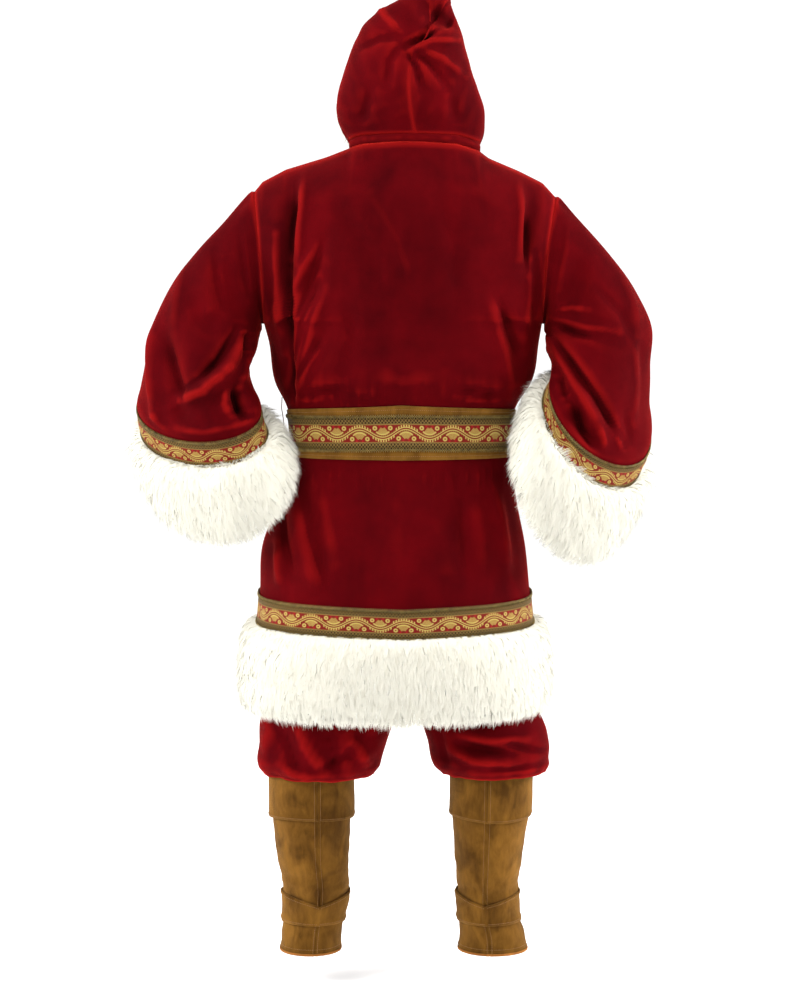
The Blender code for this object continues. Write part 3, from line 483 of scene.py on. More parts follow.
def ripple(across: Array, along: Array, seed: int, size: float) -> Array:
    """Soft uneven waves made from a few seeded sines.

    Args:
        across: First coordinate of the points.
        along: Second coordinate.
        seed: Picks the waves.
        size: Length of the longest wave.

    Returns:
        Values of about -1 to 1.
    """
    rng = np.random.default_rng(seed)
    total = np.zeros(np.broadcast(across, along).shape)
    for step in range(5):
        turn, phase = rng.uniform(0, math.pi), rng.uniform(0, 2 * math.pi)
        k = 2 * math.pi / (size / (1 + 0.55 * step))
        total += np.sin(k * (across * math.cos(turn) + along * math.sin(turn)) + phase) / (1 + 0.5 * step)
    return total / 2.4


class Field:
    """A shader value that arithmetic on it turns into nodes."""

    def __init__(self, bench: Bench, socket: bpy.types.NodeSocket) -> None:
        """Keep the socket and the bench that adds nodes."""
        self.bench = bench
        self.socket = socket

    def math(self, operation: str, *others: Field | float) -> Field:
        """One Math node on this value.

        Args:
            operation: Blender's name of the operation.
            others: The further inputs.

        Returns:
            The result.
        """
        node = self.bench.node("ShaderNodeMath")
        node.operation = operation
        self.bench.join(self, node.inputs[0])
        for place, other in enumerate(others):
            self.bench.join(other, node.inputs[place + 1])
        return Field(self.bench, node.outputs[0])

    def __add__(self, other: Field | float) -> Field:
        """Sum."""
        return self.math("ADD", other)

    def __sub__(self, other: Field | float) -> Field:
        """Difference."""
        return self.math("SUBTRACT", other)

    def __mul__(self, other: Field | float) -> Field:
        """Product."""
        return self.math("MULTIPLY", other)

    def size(self) -> Field:
        """Value without its sign."""
        return self.math("ABSOLUTE")

    def wave(self, turns: float) -> Field:
        """Sine, so many turns in one unit."""
        return (self * (2 * math.pi * turns)).math("SINE")

    def step(self, edge: float, soft: float) -> Field:
        """0 below an edge and 1 above it.

        Args:
            edge: Where the middle of the step lies.
            soft: How wide the step is.

        Returns:
            The stepped value, kept between 0 and 1.
        """
        raised = (self - (edge - soft / 2)) * (1 / soft)
        return raised.math("MINIMUM", 1.0).math("MAXIMUM", 0.0)

    def band(self, low: float, high: float, soft: float) -> Field:
        """1 between two edges, 0 outside them."""
        return self.step(low, soft) * (self.step(high, soft) * -1.0 + 1.0)


class Bench:
    """Makes one material and its nodes."""

    def __init__(self, name: str) -> None:
        """Start the material with its shader."""
        self.material = bpy.data.materials.new(name)
        self.material.use_nodes = True
        self.tree = self.material.node_tree
        self.shader = self.tree.nodes["Principled BSDF"]

    def node(self, kind: str) -> bpy.types.Node:
        """A new node."""
        return self.tree.nodes.new(kind)

    def join(self, value: Field | float, socket: bpy.types.NodeSocket) -> None:
        """Link a field to a socket, or set a number there.

        Args:
            value: The field or number.
            socket: The input that takes it.
        """
        if isinstance(value, Field):
            self.tree.links.new(value.socket, socket)
        else:
            socket.default_value = value

    def place(self, stretch: tuple[float, float, float] = (1, 1, 1), turn: float = 0.0) -> Field:
        """The surface's own coordinates, in metres.

        Args:
            stretch: Scale along each axis.
            turn: Rotation about the front-to-back axis, in radians.

        Returns:
            The coordinates.
        """
        mapping = self.node("ShaderNodeMapping")
        mapping.inputs["Scale"].default_value = stretch
        mapping.inputs["Rotation"].default_value = (0.0, turn, 0.0)
        self.tree.links.new(self.node("ShaderNodeTexCoord").outputs["Object"], mapping.inputs["Vector"])
        return Field(self, mapping.outputs[0])

    def strip(self) -> tuple[Field, Field]:
        """The two UV coordinates of a strip.

        Returns:
            The coordinates along it and across it.
        """
        split = self.node("ShaderNodeSeparateXYZ")
        self.tree.links.new(self.node("ShaderNodeTexCoord").outputs["UV"], split.inputs[0])
        return Field(self, split.outputs[0]), Field(self, split.outputs[1])

    def noise(self, at: Field, scale: float, detail: float = 2.0, warp: float = 0.0) -> Field:
        """Soft noise of 0 to 1.

        Args:
            at: Coordinates.
            scale: Waves a metre.
            detail: Finer layers.
            warp: Distortion.

        Returns:
            The noise.
        """
        node = self.node("ShaderNodeTexNoise")
        self.join(at, node.inputs["Vector"])
        node.inputs["Scale"].default_value = scale
        node.inputs["Detail"].default_value = detail
        node.inputs["Distortion"].default_value = warp
        return Field(self, node.outputs["Fac"])

    def openness(self, reach: float) -> Field:
        """How open the surface lies: 0 deep in a fold, 1 out in the open.

        Args:
            reach: How far the cloth's own folds count, in millimetres.

        Returns:
            The openness.
        """
        node = self.node("ShaderNodeAmbientOcclusion")
        node.only_local = True
        node.samples = 6
        node.inputs["Distance"].default_value = reach * MM
        return Field(self, node.outputs["AO"])

    def ridges(self) -> Field:
        """1 along the crests of folds, where a painted highlight stands for the light that brushed nap catches."""
        geometry = self.node("ShaderNodeNewGeometry")
        return Field(self, geometry.outputs["Pointiness"]).step(0.527, 0.044)

    def blend(self, share: Field, low: Colour | Field, high: Colour | Field) -> Field:
        """A colour between two.

        Args:
            share: 0 for the first colour, 1 for the second.
            low: The first colour.
            high: The second colour.

        Returns:
            The colour.
        """
        node = self.node("ShaderNodeMix")
        node.data_type = "RGBA"
        self.join(share, node.inputs[0])
        for colour, socket in ((low, node.inputs[6]), (high, node.inputs[7])):
            self.join(colour if isinstance(colour, Field) else (*colour, 1.0), socket)
        return Field(self, node.outputs[2])

    def finish(self, colour: Field, height: Field, depth: float, **numbers: float | tuple) -> bpy.types.Material:
        """Join colour and bump to the shader and set its other numbers.

        Args:
            colour: Base colour.
            height: Relief of 0 to 1.
            depth: How deep the relief is, in millimetres.
            numbers: Values of the shader's own sockets, spaces written as underscores.

        Returns:
            The material.
        """
        bump = self.node("ShaderNodeBump")
        bump.inputs["Distance"].default_value = depth * MM
        self.join(height, bump.inputs["Height"])
        self.tree.links.new(bump.outputs[0], self.shader.inputs["Normal"])
        self.join(colour, self.shader.inputs["Base Color"])
        for name, value in numbers.items():
            self.shader.inputs[name.replace("_", " ")].default_value = value
        return self.material


@dataclass(frozen=True)
class Velvet:
    """Red cotton velvet whose nap lies in soft diagonal sweeps, with painted highlights on fold crests and painted
    shade deep in folds.
    """

    deep: Colour = (0.033, 0.0004, 0.0014)
    brushed: Colour = (0.100, 0.0009, 0.0024)
    edge: Colour = (0.90, 0.036, 0.022)
    # Painted highlight: a brighter red laid on the crests of folds.
    crest_highlight: Colour = (0.30, 0.006, 0.005)
    shadow: Colour = (0.004, 0.0001, 0.0003)
    sheen: float = 0.46

    def make(self) -> bpy.types.Material:
        """The velvet's material.

        Returns:
            The new material.
        """
        bench = Bench("red_velvet")
        sweep = bench.noise(bench.place((1.0, 1.0, 0.32), 0.6), 9.0, 3.0, 0.6)
        cloud = bench.noise(bench.place(), 26.0, 3.0)
        nap = bench.noise(bench.place((1.0, 1.0, 0.6)), 1500.0, 2.0)
        share = (sweep * 0.75 + cloud * 0.3 + nap * 0.16).step(0.60, 0.5)
        # Painted shade: by ambient occlusion, the colour darkens to near black deep in the cloth's own folds and the
        # sheen weakens there.
        light = bench.openness(40.0).step(0.66, 0.56)
        bench.join(light * self.sheen, bench.shader.inputs["Sheen Weight"])
        # Painted highlight: the crests of folds get a brighter red over the nap's own colour.
        nap_and_crest_highlight = bench.blend(bench.ridges() * 0.48, bench.blend(share, self.deep, self.brushed), self.crest_highlight)
        colour = bench.blend(light, self.shadow, nap_and_crest_highlight)
        return bench.finish(
            colour, nap + cloud * 0.6, 0.35,
            Roughness=0.85, Specular_IOR_Level=0.015, Sheen_Roughness=0.27, Sheen_Tint=(*self.edge, 1.0),
        )


@dataclass(frozen=True)
class Suede:
    """Brushed tan suede with darker and lighter patches where its nap was stroked."""

    name: str = "tan_suede"
    dark: Colour = (0.070, 0.029, 0.0045)
    light: Colour = (0.195, 0.088, 0.014)
    soft: float = 0.42         # how gently one patch turns into the next

    def make(self) -> bpy.types.Material:
        """The suede's material.

        Returns:
            The new material.
        """
        bench = Bench(self.name)
        patch = bench.noise(bench.place((1.0, 1.0, 0.7)), 22.0, 4.0, 0.8)
        stroke = bench.noise(bench.place((1.0, 1.0, 0.35), 0.3), 120.0, 3.0, 0.5)
        grain = bench.noise(bench.place(), 1300.0, 3.0)
        share = (patch * 0.80 + stroke * 0.26 + grain * 0.22).step(0.64, self.soft)
        return bench.finish(
            bench.blend(share, self.dark, self.light), grain + stroke * 0.5, 0.4,
            Roughness=0.92, Specular_IOR_Level=0.02, Sheen_Weight=0.25, Sheen_Roughness=0.5,
            Sheen_Tint=(0.95, 0.55, 0.22, 1.0),
        )


@dataclass(frozen=True)
class Fur:
    """Ivory pile with painted shade, darker towards each hair's root; across the strip's UV a hair goes from its root
    to its tip.
    """

    # Painted shade: the root colour is darker, for the shade deep in the pile.
    root: Colour = (0.56, 0.535, 0.455)
    tip: Colour = (0.645, 0.63, 0.555)

    def make(self) -> bpy.types.Material:
        """The fur's material.

        Returns:
            The new material.
        """
        bench = Bench("ivory_fur")
        _, out = bench.strip()
        tone = bench.noise(bench.place(), 55.0, 3.0)
        # Painted shade: each hair darkens from its tip towards its root.
        share = (out * 0.9 + tone * 0.5).step(0.55, 0.9)
        return bench.finish(
            bench.blend(share, self.root, self.tip), tone, 0.2,
            Roughness=0.72, Specular_IOR_Level=0.25, Sheen_Weight=0.3, Sheen_Roughness=0.4,
        )


@dataclass(frozen=True)
class Brocade:
    """Woven band: a winding vine between gold outlines, fans in its bends, latticed edges.

    UV runs in repeats along the band and from 0 to 1 across it.
    """

    gold: Colour = (0.24, 0.155, 0.036)
    pale: Colour = (0.52, 0.40, 0.10)
    brown: Colour = (0.13, 0.05, 0.012)
    black: Colour = (0.016, 0.011, 0.006)
    red: Colour = (0.19, 0.0035, 0.004)
    crimson: Colour = (0.34, 0.004, 0.010)
    rust: Colour = (0.24, 0.055, 0.012)
    margin: float = 0.235      # share of the width that each latticed edge takes
    bend: float = 0.27         # how far the vine swings

    def make(self) -> bpy.types.Material:
        """The brocade's material.

        Returns:
            The new material.
        """
        bench = Bench("gold_red_brocade")
        along, across = bench.strip()
        half = (along * 2.0).math("FRACT") - 0.5
        odd = (along * 2.0).math("FLOOR").math("MODULO", 2.0).size()
        flipped = across + odd * (across * -2.0 + 1.0)
        level = (flipped - 0.5) * (1 / (1 - 2 * self.margin))
        arch = (half * math.pi).math("COSINE") * self.bend
        off = level - arch
        vine = off.size().band(-1.0, 0.034, 0.02)
        outline = off.size().band(0.036, 0.096, 0.02)
        beads = off.band(0.09, 0.225, 0.03) * half.wave(9.0).step(-0.05, 0.4)
        inner_beads = (off * -1.0).band(0.09, 0.15, 0.03) * half.wave(11.0).step(0.2, 0.5)
        # The fan in each bend, measured from its foot.
        foot_x, foot_y = half * 1.35, level + 0.46
        reach = (foot_x * foot_x + foot_y * foot_y).math("SQRT")
        spread = (foot_y * 0.85 - foot_x.size()).step(0.0, 0.04)
        fan = reach.band(0.16, 0.50, 0.03) * spread
        rim = reach.band(0.48, 0.56, 0.03) * (foot_y * 1.0 - foot_x.size()).step(-0.02, 0.05)
        mesh = ((half * 1.34 + level).wave(8.0) * (half * 1.34 - level).wave(8.0)).step(0.0, 0.3)
        scroll_x, scroll_y = half.size() - 0.33, level + 0.30
        curl = (scroll_x * scroll_x * 1.8 + scroll_y * scroll_y).math("SQRT").band(0.045, 0.130, 0.03)
        leaf_x, leaf_y = half.size() - 0.13, level + 0.40
        leaf = (leaf_x * leaf_x * 5.0 + leaf_y * leaf_y).math("SQRT").band(-1.0, 0.100, 0.03)
        thread = (along.wave(190.0) * across.wave(34.0)) * 0.5 + 0.5
        # The latticed edges.
        edge = (across - 0.5).size().step(0.5 - self.margin, 0.02)
        net_a, net_b = (along * 7.0 + across * 4.2).wave(1.0), (along * 7.0 - across * 4.2).wave(1.0)
        net = net_a.size().math("MAXIMUM", net_b.size()).step(0.93, 0.12)
        knots = (net_a * net_b).step(0.35, 0.3)
        line = (across - 0.5).size().band(0.5 - self.margin - 0.012, 0.5 - self.margin + 0.016, 0.012)
        colour = bench.blend(leaf, self.red, self.crimson)
        colour = bench.blend(fan, colour, bench.blend(mesh, self.rust, self.pale))
        for share, tone in ((rim, self.pale), (curl, self.pale), (beads, self.pale), (inner_beads, self.gold),
                            (outline, self.pale), (vine, self.red)):
            colour = bench.blend(share, colour, tone)
        lattice = bench.blend(net, bench.blend(knots, self.black, self.brown), self.gold)
        colour = bench.blend(edge, colour, lattice)
        colour = bench.blend(line, colour, self.gold)
        worn = bench.noise(bench.place(), 160.0, 3.0)
        colour = bench.blend((worn * 0.8 + thread * 0.35).step(0.42, 0.7), bench.blend(0.28, colour,
                             self.brown), colour)
        raised = (rim + curl + outline + beads + leaf * 0.6 + fan * 0.4).math("MINIMUM", 1.0)
        raised = raised * (edge * -1.0 + 1.0) + edge * (net * 0.8 + 0.2)
        return bench.finish(
            colour, raised + thread * 0.45, 0.9,
            Roughness=0.62, Specular_IOR_Level=0.12,
        )


@dataclass(frozen=True)
class Thread:
    """Twisted thread of one colour with uneven dye."""

    name: str
    dark: Colour
    light: Colour
    roughness: float = 0.5
    shine: float = 0.0

    def make(self) -> bpy.types.Material:
        """The thread's material.

        Returns:
            The new material.
        """
        bench = Bench(self.name)
        twist = bench.noise(bench.place(), 900.0, 2.0)
        tone = bench.noise(bench.place(), 130.0, 2.0)
        share = (twist * 0.6 + tone * 0.6).step(0.6, 0.4)
        return bench.finish(bench.blend(share, self.dark, self.light), twist, 0.3,
                            Roughness=self.roughness, Metallic=self.shine, Specular_IOR_Level=0.4)


@dataclass(frozen=True)
class Brass:
    """Satin brass with fine scratches and a little tarnish."""

    bright: Colour = (0.78, 0.56, 0.24)
    tarnish: Colour = (0.36, 0.23, 0.08)

    def make(self) -> bpy.types.Material:
        """The brass's material.

        Returns:
            The new material.
        """
        bench = Bench("satin_brass")
        stain = bench.noise(bench.place(), 70.0, 4.0)
        scratch = bench.noise(bench.place((1.0, 1.0, 14.0), 0.4), 260.0, 3.0)
        return bench.finish(bench.blend((stain + scratch * 0.3).step(0.52, 0.5), self.bright, self.tarnish),
                            scratch, 0.06, Roughness=0.32, Metallic=1.0)


@dataclass
class Wardrobe:
    """The materials, each made once."""

    velvet: bpy.types.Material = field(default_factory=lambda: Velvet().make())
    suede: bpy.types.Material = field(default_factory=lambda: Suede().make())
    boot: bpy.types.Material = field(default_factory=lambda: Suede(
        "boot_suede", (0.048, 0.019, 0.003), (0.160, 0.071, 0.0107), 0.36).make())
    bound: bpy.types.Material = field(default_factory=lambda: Suede(
        "orange_suede_binding", (0.17, 0.06, 0.012), (0.36, 0.14, 0.03)).make())
    fur: bpy.types.Material = field(default_factory=lambda: Fur().make())
    brocade: bpy.types.Material = field(default_factory=lambda: Brocade().make())
    gimp: bpy.types.Material = field(default_factory=lambda: Thread(
        "gold_black_gimp", (0.010, 0.007, 0.003), (0.42, 0.29, 0.075), 0.5, 0.15).make())
    stitch: bpy.types.Material = field(default_factory=lambda: Thread(
        "tan_stitching", (0.13, 0.055, 0.014), (0.30, 0.15, 0.045), 0.6).make())
    brass: bpy.types.Material = field(default_factory=lambda: Brass().make())


def to_metres(points: Array) -> Array:
    """Points in the part's own frame, in metres.

    Args:
        points: Points in millimetres, with heights above the floor.

    Returns:
        The points from the origin, in metres.
    """
    moved = np.array(points, float)
    moved[..., 2] -= NECK_HEIGHT
    return moved * MM


def raw_mesh(name: str, points: Array, faces: Array, finish: bpy.types.Material, uv: Array | None = None,
             normals: Array | None = None) -> bpy.types.Object:
    """An object from points and faces that all have the same number of corners.

    Args:
        name: The piece's name.
        points: Points in millimetres.
        faces: Point numbers, a row for each face.
        finish: Its material.
        uv: A coordinate for each corner of each face.
        normals: A normal for each point, where the faces' own ones aren't wanted.

    Returns:
        The new object.
    """
    points, faces = np.asarray(points, float), np.asarray(faces)
    mesh = bpy.data.meshes.new(name)
    mesh.vertices.add(len(points))
    mesh.vertices.foreach_set("co", to_metres(points).ravel())
    mesh.loops.add(faces.size)
    mesh.loops.foreach_set("vertex_index", faces.ravel().astype(np.int32))
    mesh.polygons.add(len(faces))
    mesh.polygons.foreach_set("loop_start", np.arange(0, faces.size, faces.shape[1], dtype=np.int32))
    if uv is not None:
        layer = mesh.uv_layers.new(name="UVMap")
        layer.data.foreach_set("uv", np.asarray(uv, float).ravel())
    mesh.update(calc_edges=True)
    mesh.validate()
    mesh.shade_smooth()
    if normals is not None:
        mesh.normals_split_custom_set_from_vertices(unit(normals).tolist())
    mesh.materials.append(finish)
    made = bpy.data.objects.new(name, mesh)
    bpy.context.scene.collection.objects.link(made)
    return made


def grid_faces(rows: int, columns: int, wrap: bool) -> Array:
    """Point numbers of a grid's quads.

    Args:
        rows: Rows of the grid.
        columns: Points in a row.
        wrap: Whether each row's ends join.

    Returns:
        Four point numbers a face.
    """
    i, j = np.meshgrid(np.arange(rows - 1), np.arange(columns if wrap else columns - 1), indexing="ij")
    k = (j + 1) % columns
    return np.stack([i * columns + j, i * columns + k, (i + 1) * columns + k, (i + 1) * columns + j],
                    axis=-1).reshape(-1, 4)


def arc(grid: Array, axis: int) -> Array:
    """Length along the grid's middle line in one direction, from 0.

    Args:
        grid: Points, rows by columns by three.
        axis: 0 from row to row, 1 along a row.

    Returns:
        One length a row or column.
    """
    line = grid[:, grid.shape[1] // 2] if axis == 0 else grid[grid.shape[0] // 2]
    return np.concatenate([[0.0], np.cumsum(np.linalg.norm(np.diff(line, axis=0), axis=1))])


def sheet_mesh(name: str, grid: Array, finish: bpy.types.Material, wrap: bool = False, wall: float = 0.0,
               outward: bool = False, repeat: float | None = None) -> bpy.types.Object:
    """A cloth piece over a grid of points.

    Args:
        name: The piece's name.
        grid: Points in millimetres, rows by columns by three.
        finish: Its material.
        wrap: Whether each row's ends join.
        wall: Thickness in millimetres, or 0 for a single face.
        outward: Whether the wall grows away from the grid's middle.
        repeat: Length of one pattern repeat along the rows, or None for plain UV in metres.

    Returns:
        The new object.
    """
    rows, columns = grid.shape[:2]
    faces = grid_faces(rows, columns, wrap)
    closed = np.concatenate([grid, grid[:, :1]], axis=1) if wrap else grid
    along, down = arc(closed, 1), arc(closed, 0)
    if repeat is None:
        u, v = along * MM, down * MM
    else:
        whole = along[-1] / max(1.0, round(along[-1] / repeat)) if wrap else repeat
        u, v = along / whole, down / max(down[-1], 1e-9)
    i, j = np.meshgrid(np.arange(rows - 1), np.arange(columns if wrap else columns - 1), indexing="ij")
    corners = ((0, 0), (0, 1), (1, 1), (1, 0))
    uv = np.stack([np.stack([u[j + b], v[i + a]], axis=-1) for a, b in corners], axis=2).reshape(-1, 2)
    facing = grid_normals(grid, wrap)
    first = unit(np.cross(grid[1, 1] - grid[0, 1], grid[0, 2] - grid[0, 1]))
    if np.dot(first, facing[0, 1]) > 0:
        faces = faces[:, ::-1]
        uv = uv.reshape(-1, 4, 2)[:, ::-1].reshape(-1, 2)
    made = raw_mesh(name, grid.reshape(-1, 3), faces, finish, uv)
    if wall:
        shell = made.modifiers.new("wall", "SOLIDIFY")
        shell.thickness = wall * MM
        shell.offset = 1.0 if outward else -1.0
    return made


def tube_mesh(name: str, lines: list[Array], radius: float, finish: bpy.types.Material, sides: int = 3,
              closed: bool = False) -> bpy.types.Object:
    """Thin round threads along lines of points, as one mesh.

    Args:
        name: The piece's name.
        lines: Each thread's points in millimetres.
        radius: Half its thickness in millimetres.
        finish: Its material.
        sides: Corners of its section.
        closed: Whether each line joins its own start.

    Returns:
        The new object.
    """
    points, faces, start = [], [], 0
    for line in lines:
        if closed:
            ahead = unit(np.roll(line, -1, axis=0) - np.roll(line, 1, axis=0))
        else:
            ahead = unit(np.gradient(line, axis=0))
        side = unit(np.cross(ahead, np.array([0.13, 0.31, 0.94])))
        up = np.cross(side, ahead)
        angles = np.arange(sides) * 2 * math.pi / sides
        ring = (line[:, None] + radius * (side[:, None] * np.cos(angles)[None, :, None]
                                          + up[:, None] * np.sin(angles)[None, :, None]))
        if closed:
            ring = np.concatenate([ring, ring[:1]])
        points.append(ring.reshape(-1, 3))
        faces.append(grid_faces(len(ring), sides, True) + start)
        start += len(ring) * sides
    return raw_mesh(name, np.concatenate(points), np.concatenate(faces), finish)


def gimp_lines(edge: Array, out: Array, up: Array, closed: bool, loop: float = 8.4, swing: float = 3.6,
               steps: int = 7) -> list[Array]:
    """The two threads of a looped braid along an edge.

    Args:
        edge: The edge's points.
        out: Direction away from the cloth at each.
        up: Direction across the band at each.
        closed: Whether the edge joins its own start.
        loop: Length of one loop.
        swing: How far the loops reach to each side.
        steps: Points in one loop.

    Returns:
        Two lines of points.
    """
    ends = np.concatenate([edge, edge[:1]]) if closed else edge
    total = np.linalg.norm(np.diff(ends, axis=0), axis=1).sum()
    count = max(2, round(total / loop)) * steps
    packed = np.concatenate([edge, out, up], axis=1)
    if closed:
        packed = np.concatenate([packed, packed[:1]])
    reach = np.concatenate([[0.0], np.cumsum(np.linalg.norm(np.diff(packed[:, :3], axis=0), axis=1))])
    at = np.linspace(0, reach[-1], count, endpoint=not closed)
    spread = np.stack([np.interp(at, reach, packed[:, k]) for k in range(9)], axis=1)
    phase = np.arange(count) / steps * 2 * math.pi
    ahead = unit(np.gradient(spread[:, :3], axis=0))
    lines = []
    for shift in (0.0, math.pi):
        wave = phase + shift
        lines.append(spread[:, :3] + spread[:, 6:9] * (swing * np.sin(wave))[:, None]
                     + spread[:, 3:6] * (0.8 + 0.7 * np.cos(wave))[:, None]
                     + ahead * (1.9 * np.sin(2 * wave))[:, None])
    return lines


def stitch_mesh(name: str, lines: list[Array], out: list[Array], finish: bpy.types.Material, pitch: float = 3.6,
                length: float = 2.3, radius: float = 0.42) -> bpy.types.Object:
    """Rows of short stitches as one mesh.

    Args:
        name: The piece's name.
        lines: Each row's points in millimetres.
        out: Directions away from the cloth, one array a row.
        finish: The thread's material.
        pitch: Distance from stitch to stitch.
        length: Length of a stitch.
        radius: Half the thread's thickness.

    Returns:
        The new object.
    """
    threads = []
    for line, away in zip(lines, out):
        packed = np.concatenate([line, away], axis=1)
        reach = np.concatenate([[0.0], np.cumsum(np.linalg.norm(np.diff(line, axis=0), axis=1))])
        for start in np.arange(0.5 * pitch, reach[-1] - length, pitch):
            at = start + np.array([0.0, 0.25, 0.75, 1.0]) * length
            spread = np.stack([np.interp(at, reach, packed[:, k]) for k in range(6)], axis=1)
            lift = np.array([-0.25, 0.35, 0.35, -0.25])
            threads.append(spread[:, :3] + unit(spread[:, 3:]) * lift[:, None])
    return tube_mesh(name, threads, radius, finish)


@dataclass
class Pelt:
    """Fur cloth: a backing sheet and the hairs that grow on it."""

    name: str
    grid: Array                 # rows run the way the pile is combed
    wrap: bool
    hairs: int
    length: float = 31.0
    lean: float = 1.26          # radians from upright towards the combing direction
    seed: int = 7
    clump: float = 8.0          # distance between tufts
    gather: float = 0.20        # how far a tuft's tips draw together
    width: float = 0.95
    parts: int = 1
    lean_rows: tuple[float, ...] = (1.0, 1.0)    # share of the lean from the first row to the last
    length_rows: tuple[float, ...] = (1.0, 1.0)

    def build(self, wardrobe: Wardrobe) -> tuple[bpy.types.Object, list[bpy.types.Object]]:
        """Build the backing and its hairs.

        Args:
            wardrobe: The materials.

        Returns:
            The backing and the hair pieces.
        """
        backing = sheet_mesh(self.name, self.grid, wardrobe.fur, wrap=self.wrap, wall=1.0)
        rng = np.random.default_rng(self.seed)
        roots, normals, down, across, place = self.scatter(rng)
        points, facing = self.strands(rng, roots, normals, down, across, place)
        hair = []
        for part, chosen in enumerate(np.array_split(np.argsort(place[:, 0]), self.parts)):
            hair.append(self.hair_mesh(f"{self.name}_pile_{part + 1}", points[chosen], facing[chosen], wardrobe.fur))
        return backing, hair

    def scatter(self, rng: np.random.Generator) -> tuple[Array, Array, Array, Array, Array]:
        """Choose where the hairs grow.

        Args:
            rng: Seeded random numbers.

        Returns:
            Roots, normals, combing directions, directions across, and places in the sheet's own
            millimetres with the row share last.
        """
        grid, normals = self.grid, grid_normals(self.grid, self.wrap)
        rows, columns = grid.shape[:2]
        faces = grid_faces(rows, columns, self.wrap)
        flat = grid.reshape(-1, 3)
        a, b, c, d = (flat[faces[:, k]] for k in range(4))
        area = np.linalg.norm(np.cross(c - a, d - b), axis=1) / 2
        pick = np.searchsorted(np.cumsum(area) / area.sum(), rng.random(self.hairs))
        pick = np.minimum(pick, len(faces) - 1)
        s, t = rng.random(self.hairs), rng.random(self.hairs)
        corner = faces[pick]
        weights = np.stack([(1 - s) * (1 - t), s * (1 - t), s * t, (1 - s) * t], axis=1)[:, :, None]
        roots = (flat[corner] * weights).sum(axis=1)
        normal = unit((normals.reshape(-1, 3)[corner] * weights).sum(axis=1))
        first, right, low_right, low = (flat[corner[:, k]] for k in range(4))
        down = unit(low + low_right - first - right)
        across = unit(right + low_right - first - low)
        wide = columns if self.wrap else columns - 1
        i, j = pick // wide, pick % wide
        along, fall = arc(grid, 1), arc(grid, 0)
        step = along[-1] / (len(along) - 1)
        place = np.stack([(j + s) * step, np.interp(i + t, np.arange(rows), fall), (i + t) / (rows - 1)], axis=1)
        return roots, normal, down, across, place

    def strands(self, rng: np.random.Generator, roots: Array, normals: Array, down: Array, across: Array,
                place: Array) -> tuple[Array, Array]:
        """Shape every hair and draw its tip towards its tuft.

        Args:
            rng: Seeded random numbers.
            roots: Where the hairs grow.
            normals: The cloth's normals there.
            down: The combing directions.
            across: Directions across the combing.
            place: Places in the sheet's own millimetres.

        Returns:
            Four points a hair, root, both sides of its middle and tip, and a normal for each.
        """
        cell = np.floor(place[:, :2] / self.clump).astype(int)
        span = cell.max(axis=0) + 4
        jitter = rng.random((*span, 2))
        habit = rng.normal(size=(*span, 4))
        best = np.full(self.hairs, 1e9)
        pull = np.zeros((self.hairs, 2))
        own = np.zeros((self.hairs, 4))
        for di in (-1, 0, 1):
            for dj in (-1, 0, 1):
                near = cell + (di, dj)
                centre = (near + jitter[near[:, 0] + 1, near[:, 1] + 1]) * self.clump
                offset = centre - place[:, :2]
                far = np.linalg.norm(offset * (1.0, 0.6), axis=1)
                closer = far < best
                best[closer] = far[closer]
                pull[closer] = offset[closer]
                own[closer] = habit[near[closer, 0] + 1, near[closer, 1] + 1]
        stray = rng.normal(size=(self.hairs, 5))
        shares = np.linspace(0, 1, len(self.lean_rows))
        lean = self.lean * np.interp(place[:, 2], shares, self.lean_rows) + 0.07 * own[:, 0] + 0.08 * stray[:, 0]
        lengths = np.linspace(0, 1, len(self.length_rows))
        length = self.length * np.interp(place[:, 2], lengths, self.length_rows)
        length = length * np.clip(1.0 + 0.08 * own[:, 1] + 0.10 * stray[:, 1], 0.35, 1.3)
        swerve = 0.17 * own[:, 2] + 0.11 * stray[:, 2]

        def heading(turn: Array) -> Array:
            """Direction of a hair that leans by an angle."""
            flat = down * np.cos(swerve)[:, None] + across * np.sin(swerve)[:, None]
            return normals * np.cos(turn)[:, None] + flat * np.sin(turn)[:, None]

        draw = (across * pull[:, :1] + down * pull[:, 1:]) * self.gather
        mid = roots + heading(lean * 0.55) * (length * 0.42)[:, None] + draw * 0.35
        tip = mid + heading(lean * 1.15) * (length * 0.62)[:, None] + draw * 0.65
        flatness = unit(np.cross(heading(lean), normals + 0.55 * rng.normal(size=normals.shape)))
        half = self.width * 0.5 * np.clip(1 + 0.3 * stray[:, 3], 0.5, 1.8)[:, None]
        points = np.stack([roots, mid - flatness * half, mid + flatness * half, tip], axis=1)
        soft = unit(normals + 0.10 * rng.normal(size=normals.shape) + 0.15 * heading(lean))
        return points, np.repeat(soft[:, None], 4, axis=1)

    def hair_mesh(self, name: str, points: Array, facing: Array, finish: bpy.types.Material) -> bpy.types.Object:
        """Join hairs into one mesh.

        Args:
            name: The piece's name.
            points: Four points a hair.
            facing: A normal for each point.
            finish: Their material.

        Returns:
            The new object.
        """
        start = (np.arange(len(points)) * 4)[:, None, None]
        faces = (start + np.array([[0, 2, 1], [1, 2, 3]])[None]).reshape(-1, 3)
        v = np.array([0.0, 0.45, 0.45, 1.0])
        uv = np.stack([np.full(faces.size, 0.5), v[(faces % 4).ravel()]], axis=1)
        made = raw_mesh(name, points.reshape(-1, 3), faces, finish, uv, facing.reshape(-1, 3))
        made.visible_shadow = False      # white pile scatters light down to its roots
        return made


def own(piece: bpy.types.Object, slot: str, *nodes: str) -> bpy.types.Object:
    """Fix a piece to the part and hide the solids it stands for.

    Args:
        piece: The object.
        slot: Its finish slot; not used.
        nodes: The solids that it replaces.

    Returns:
        The piece.
    """
    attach(piece, "root")
    if nodes:
        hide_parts(*nodes)
    return piece


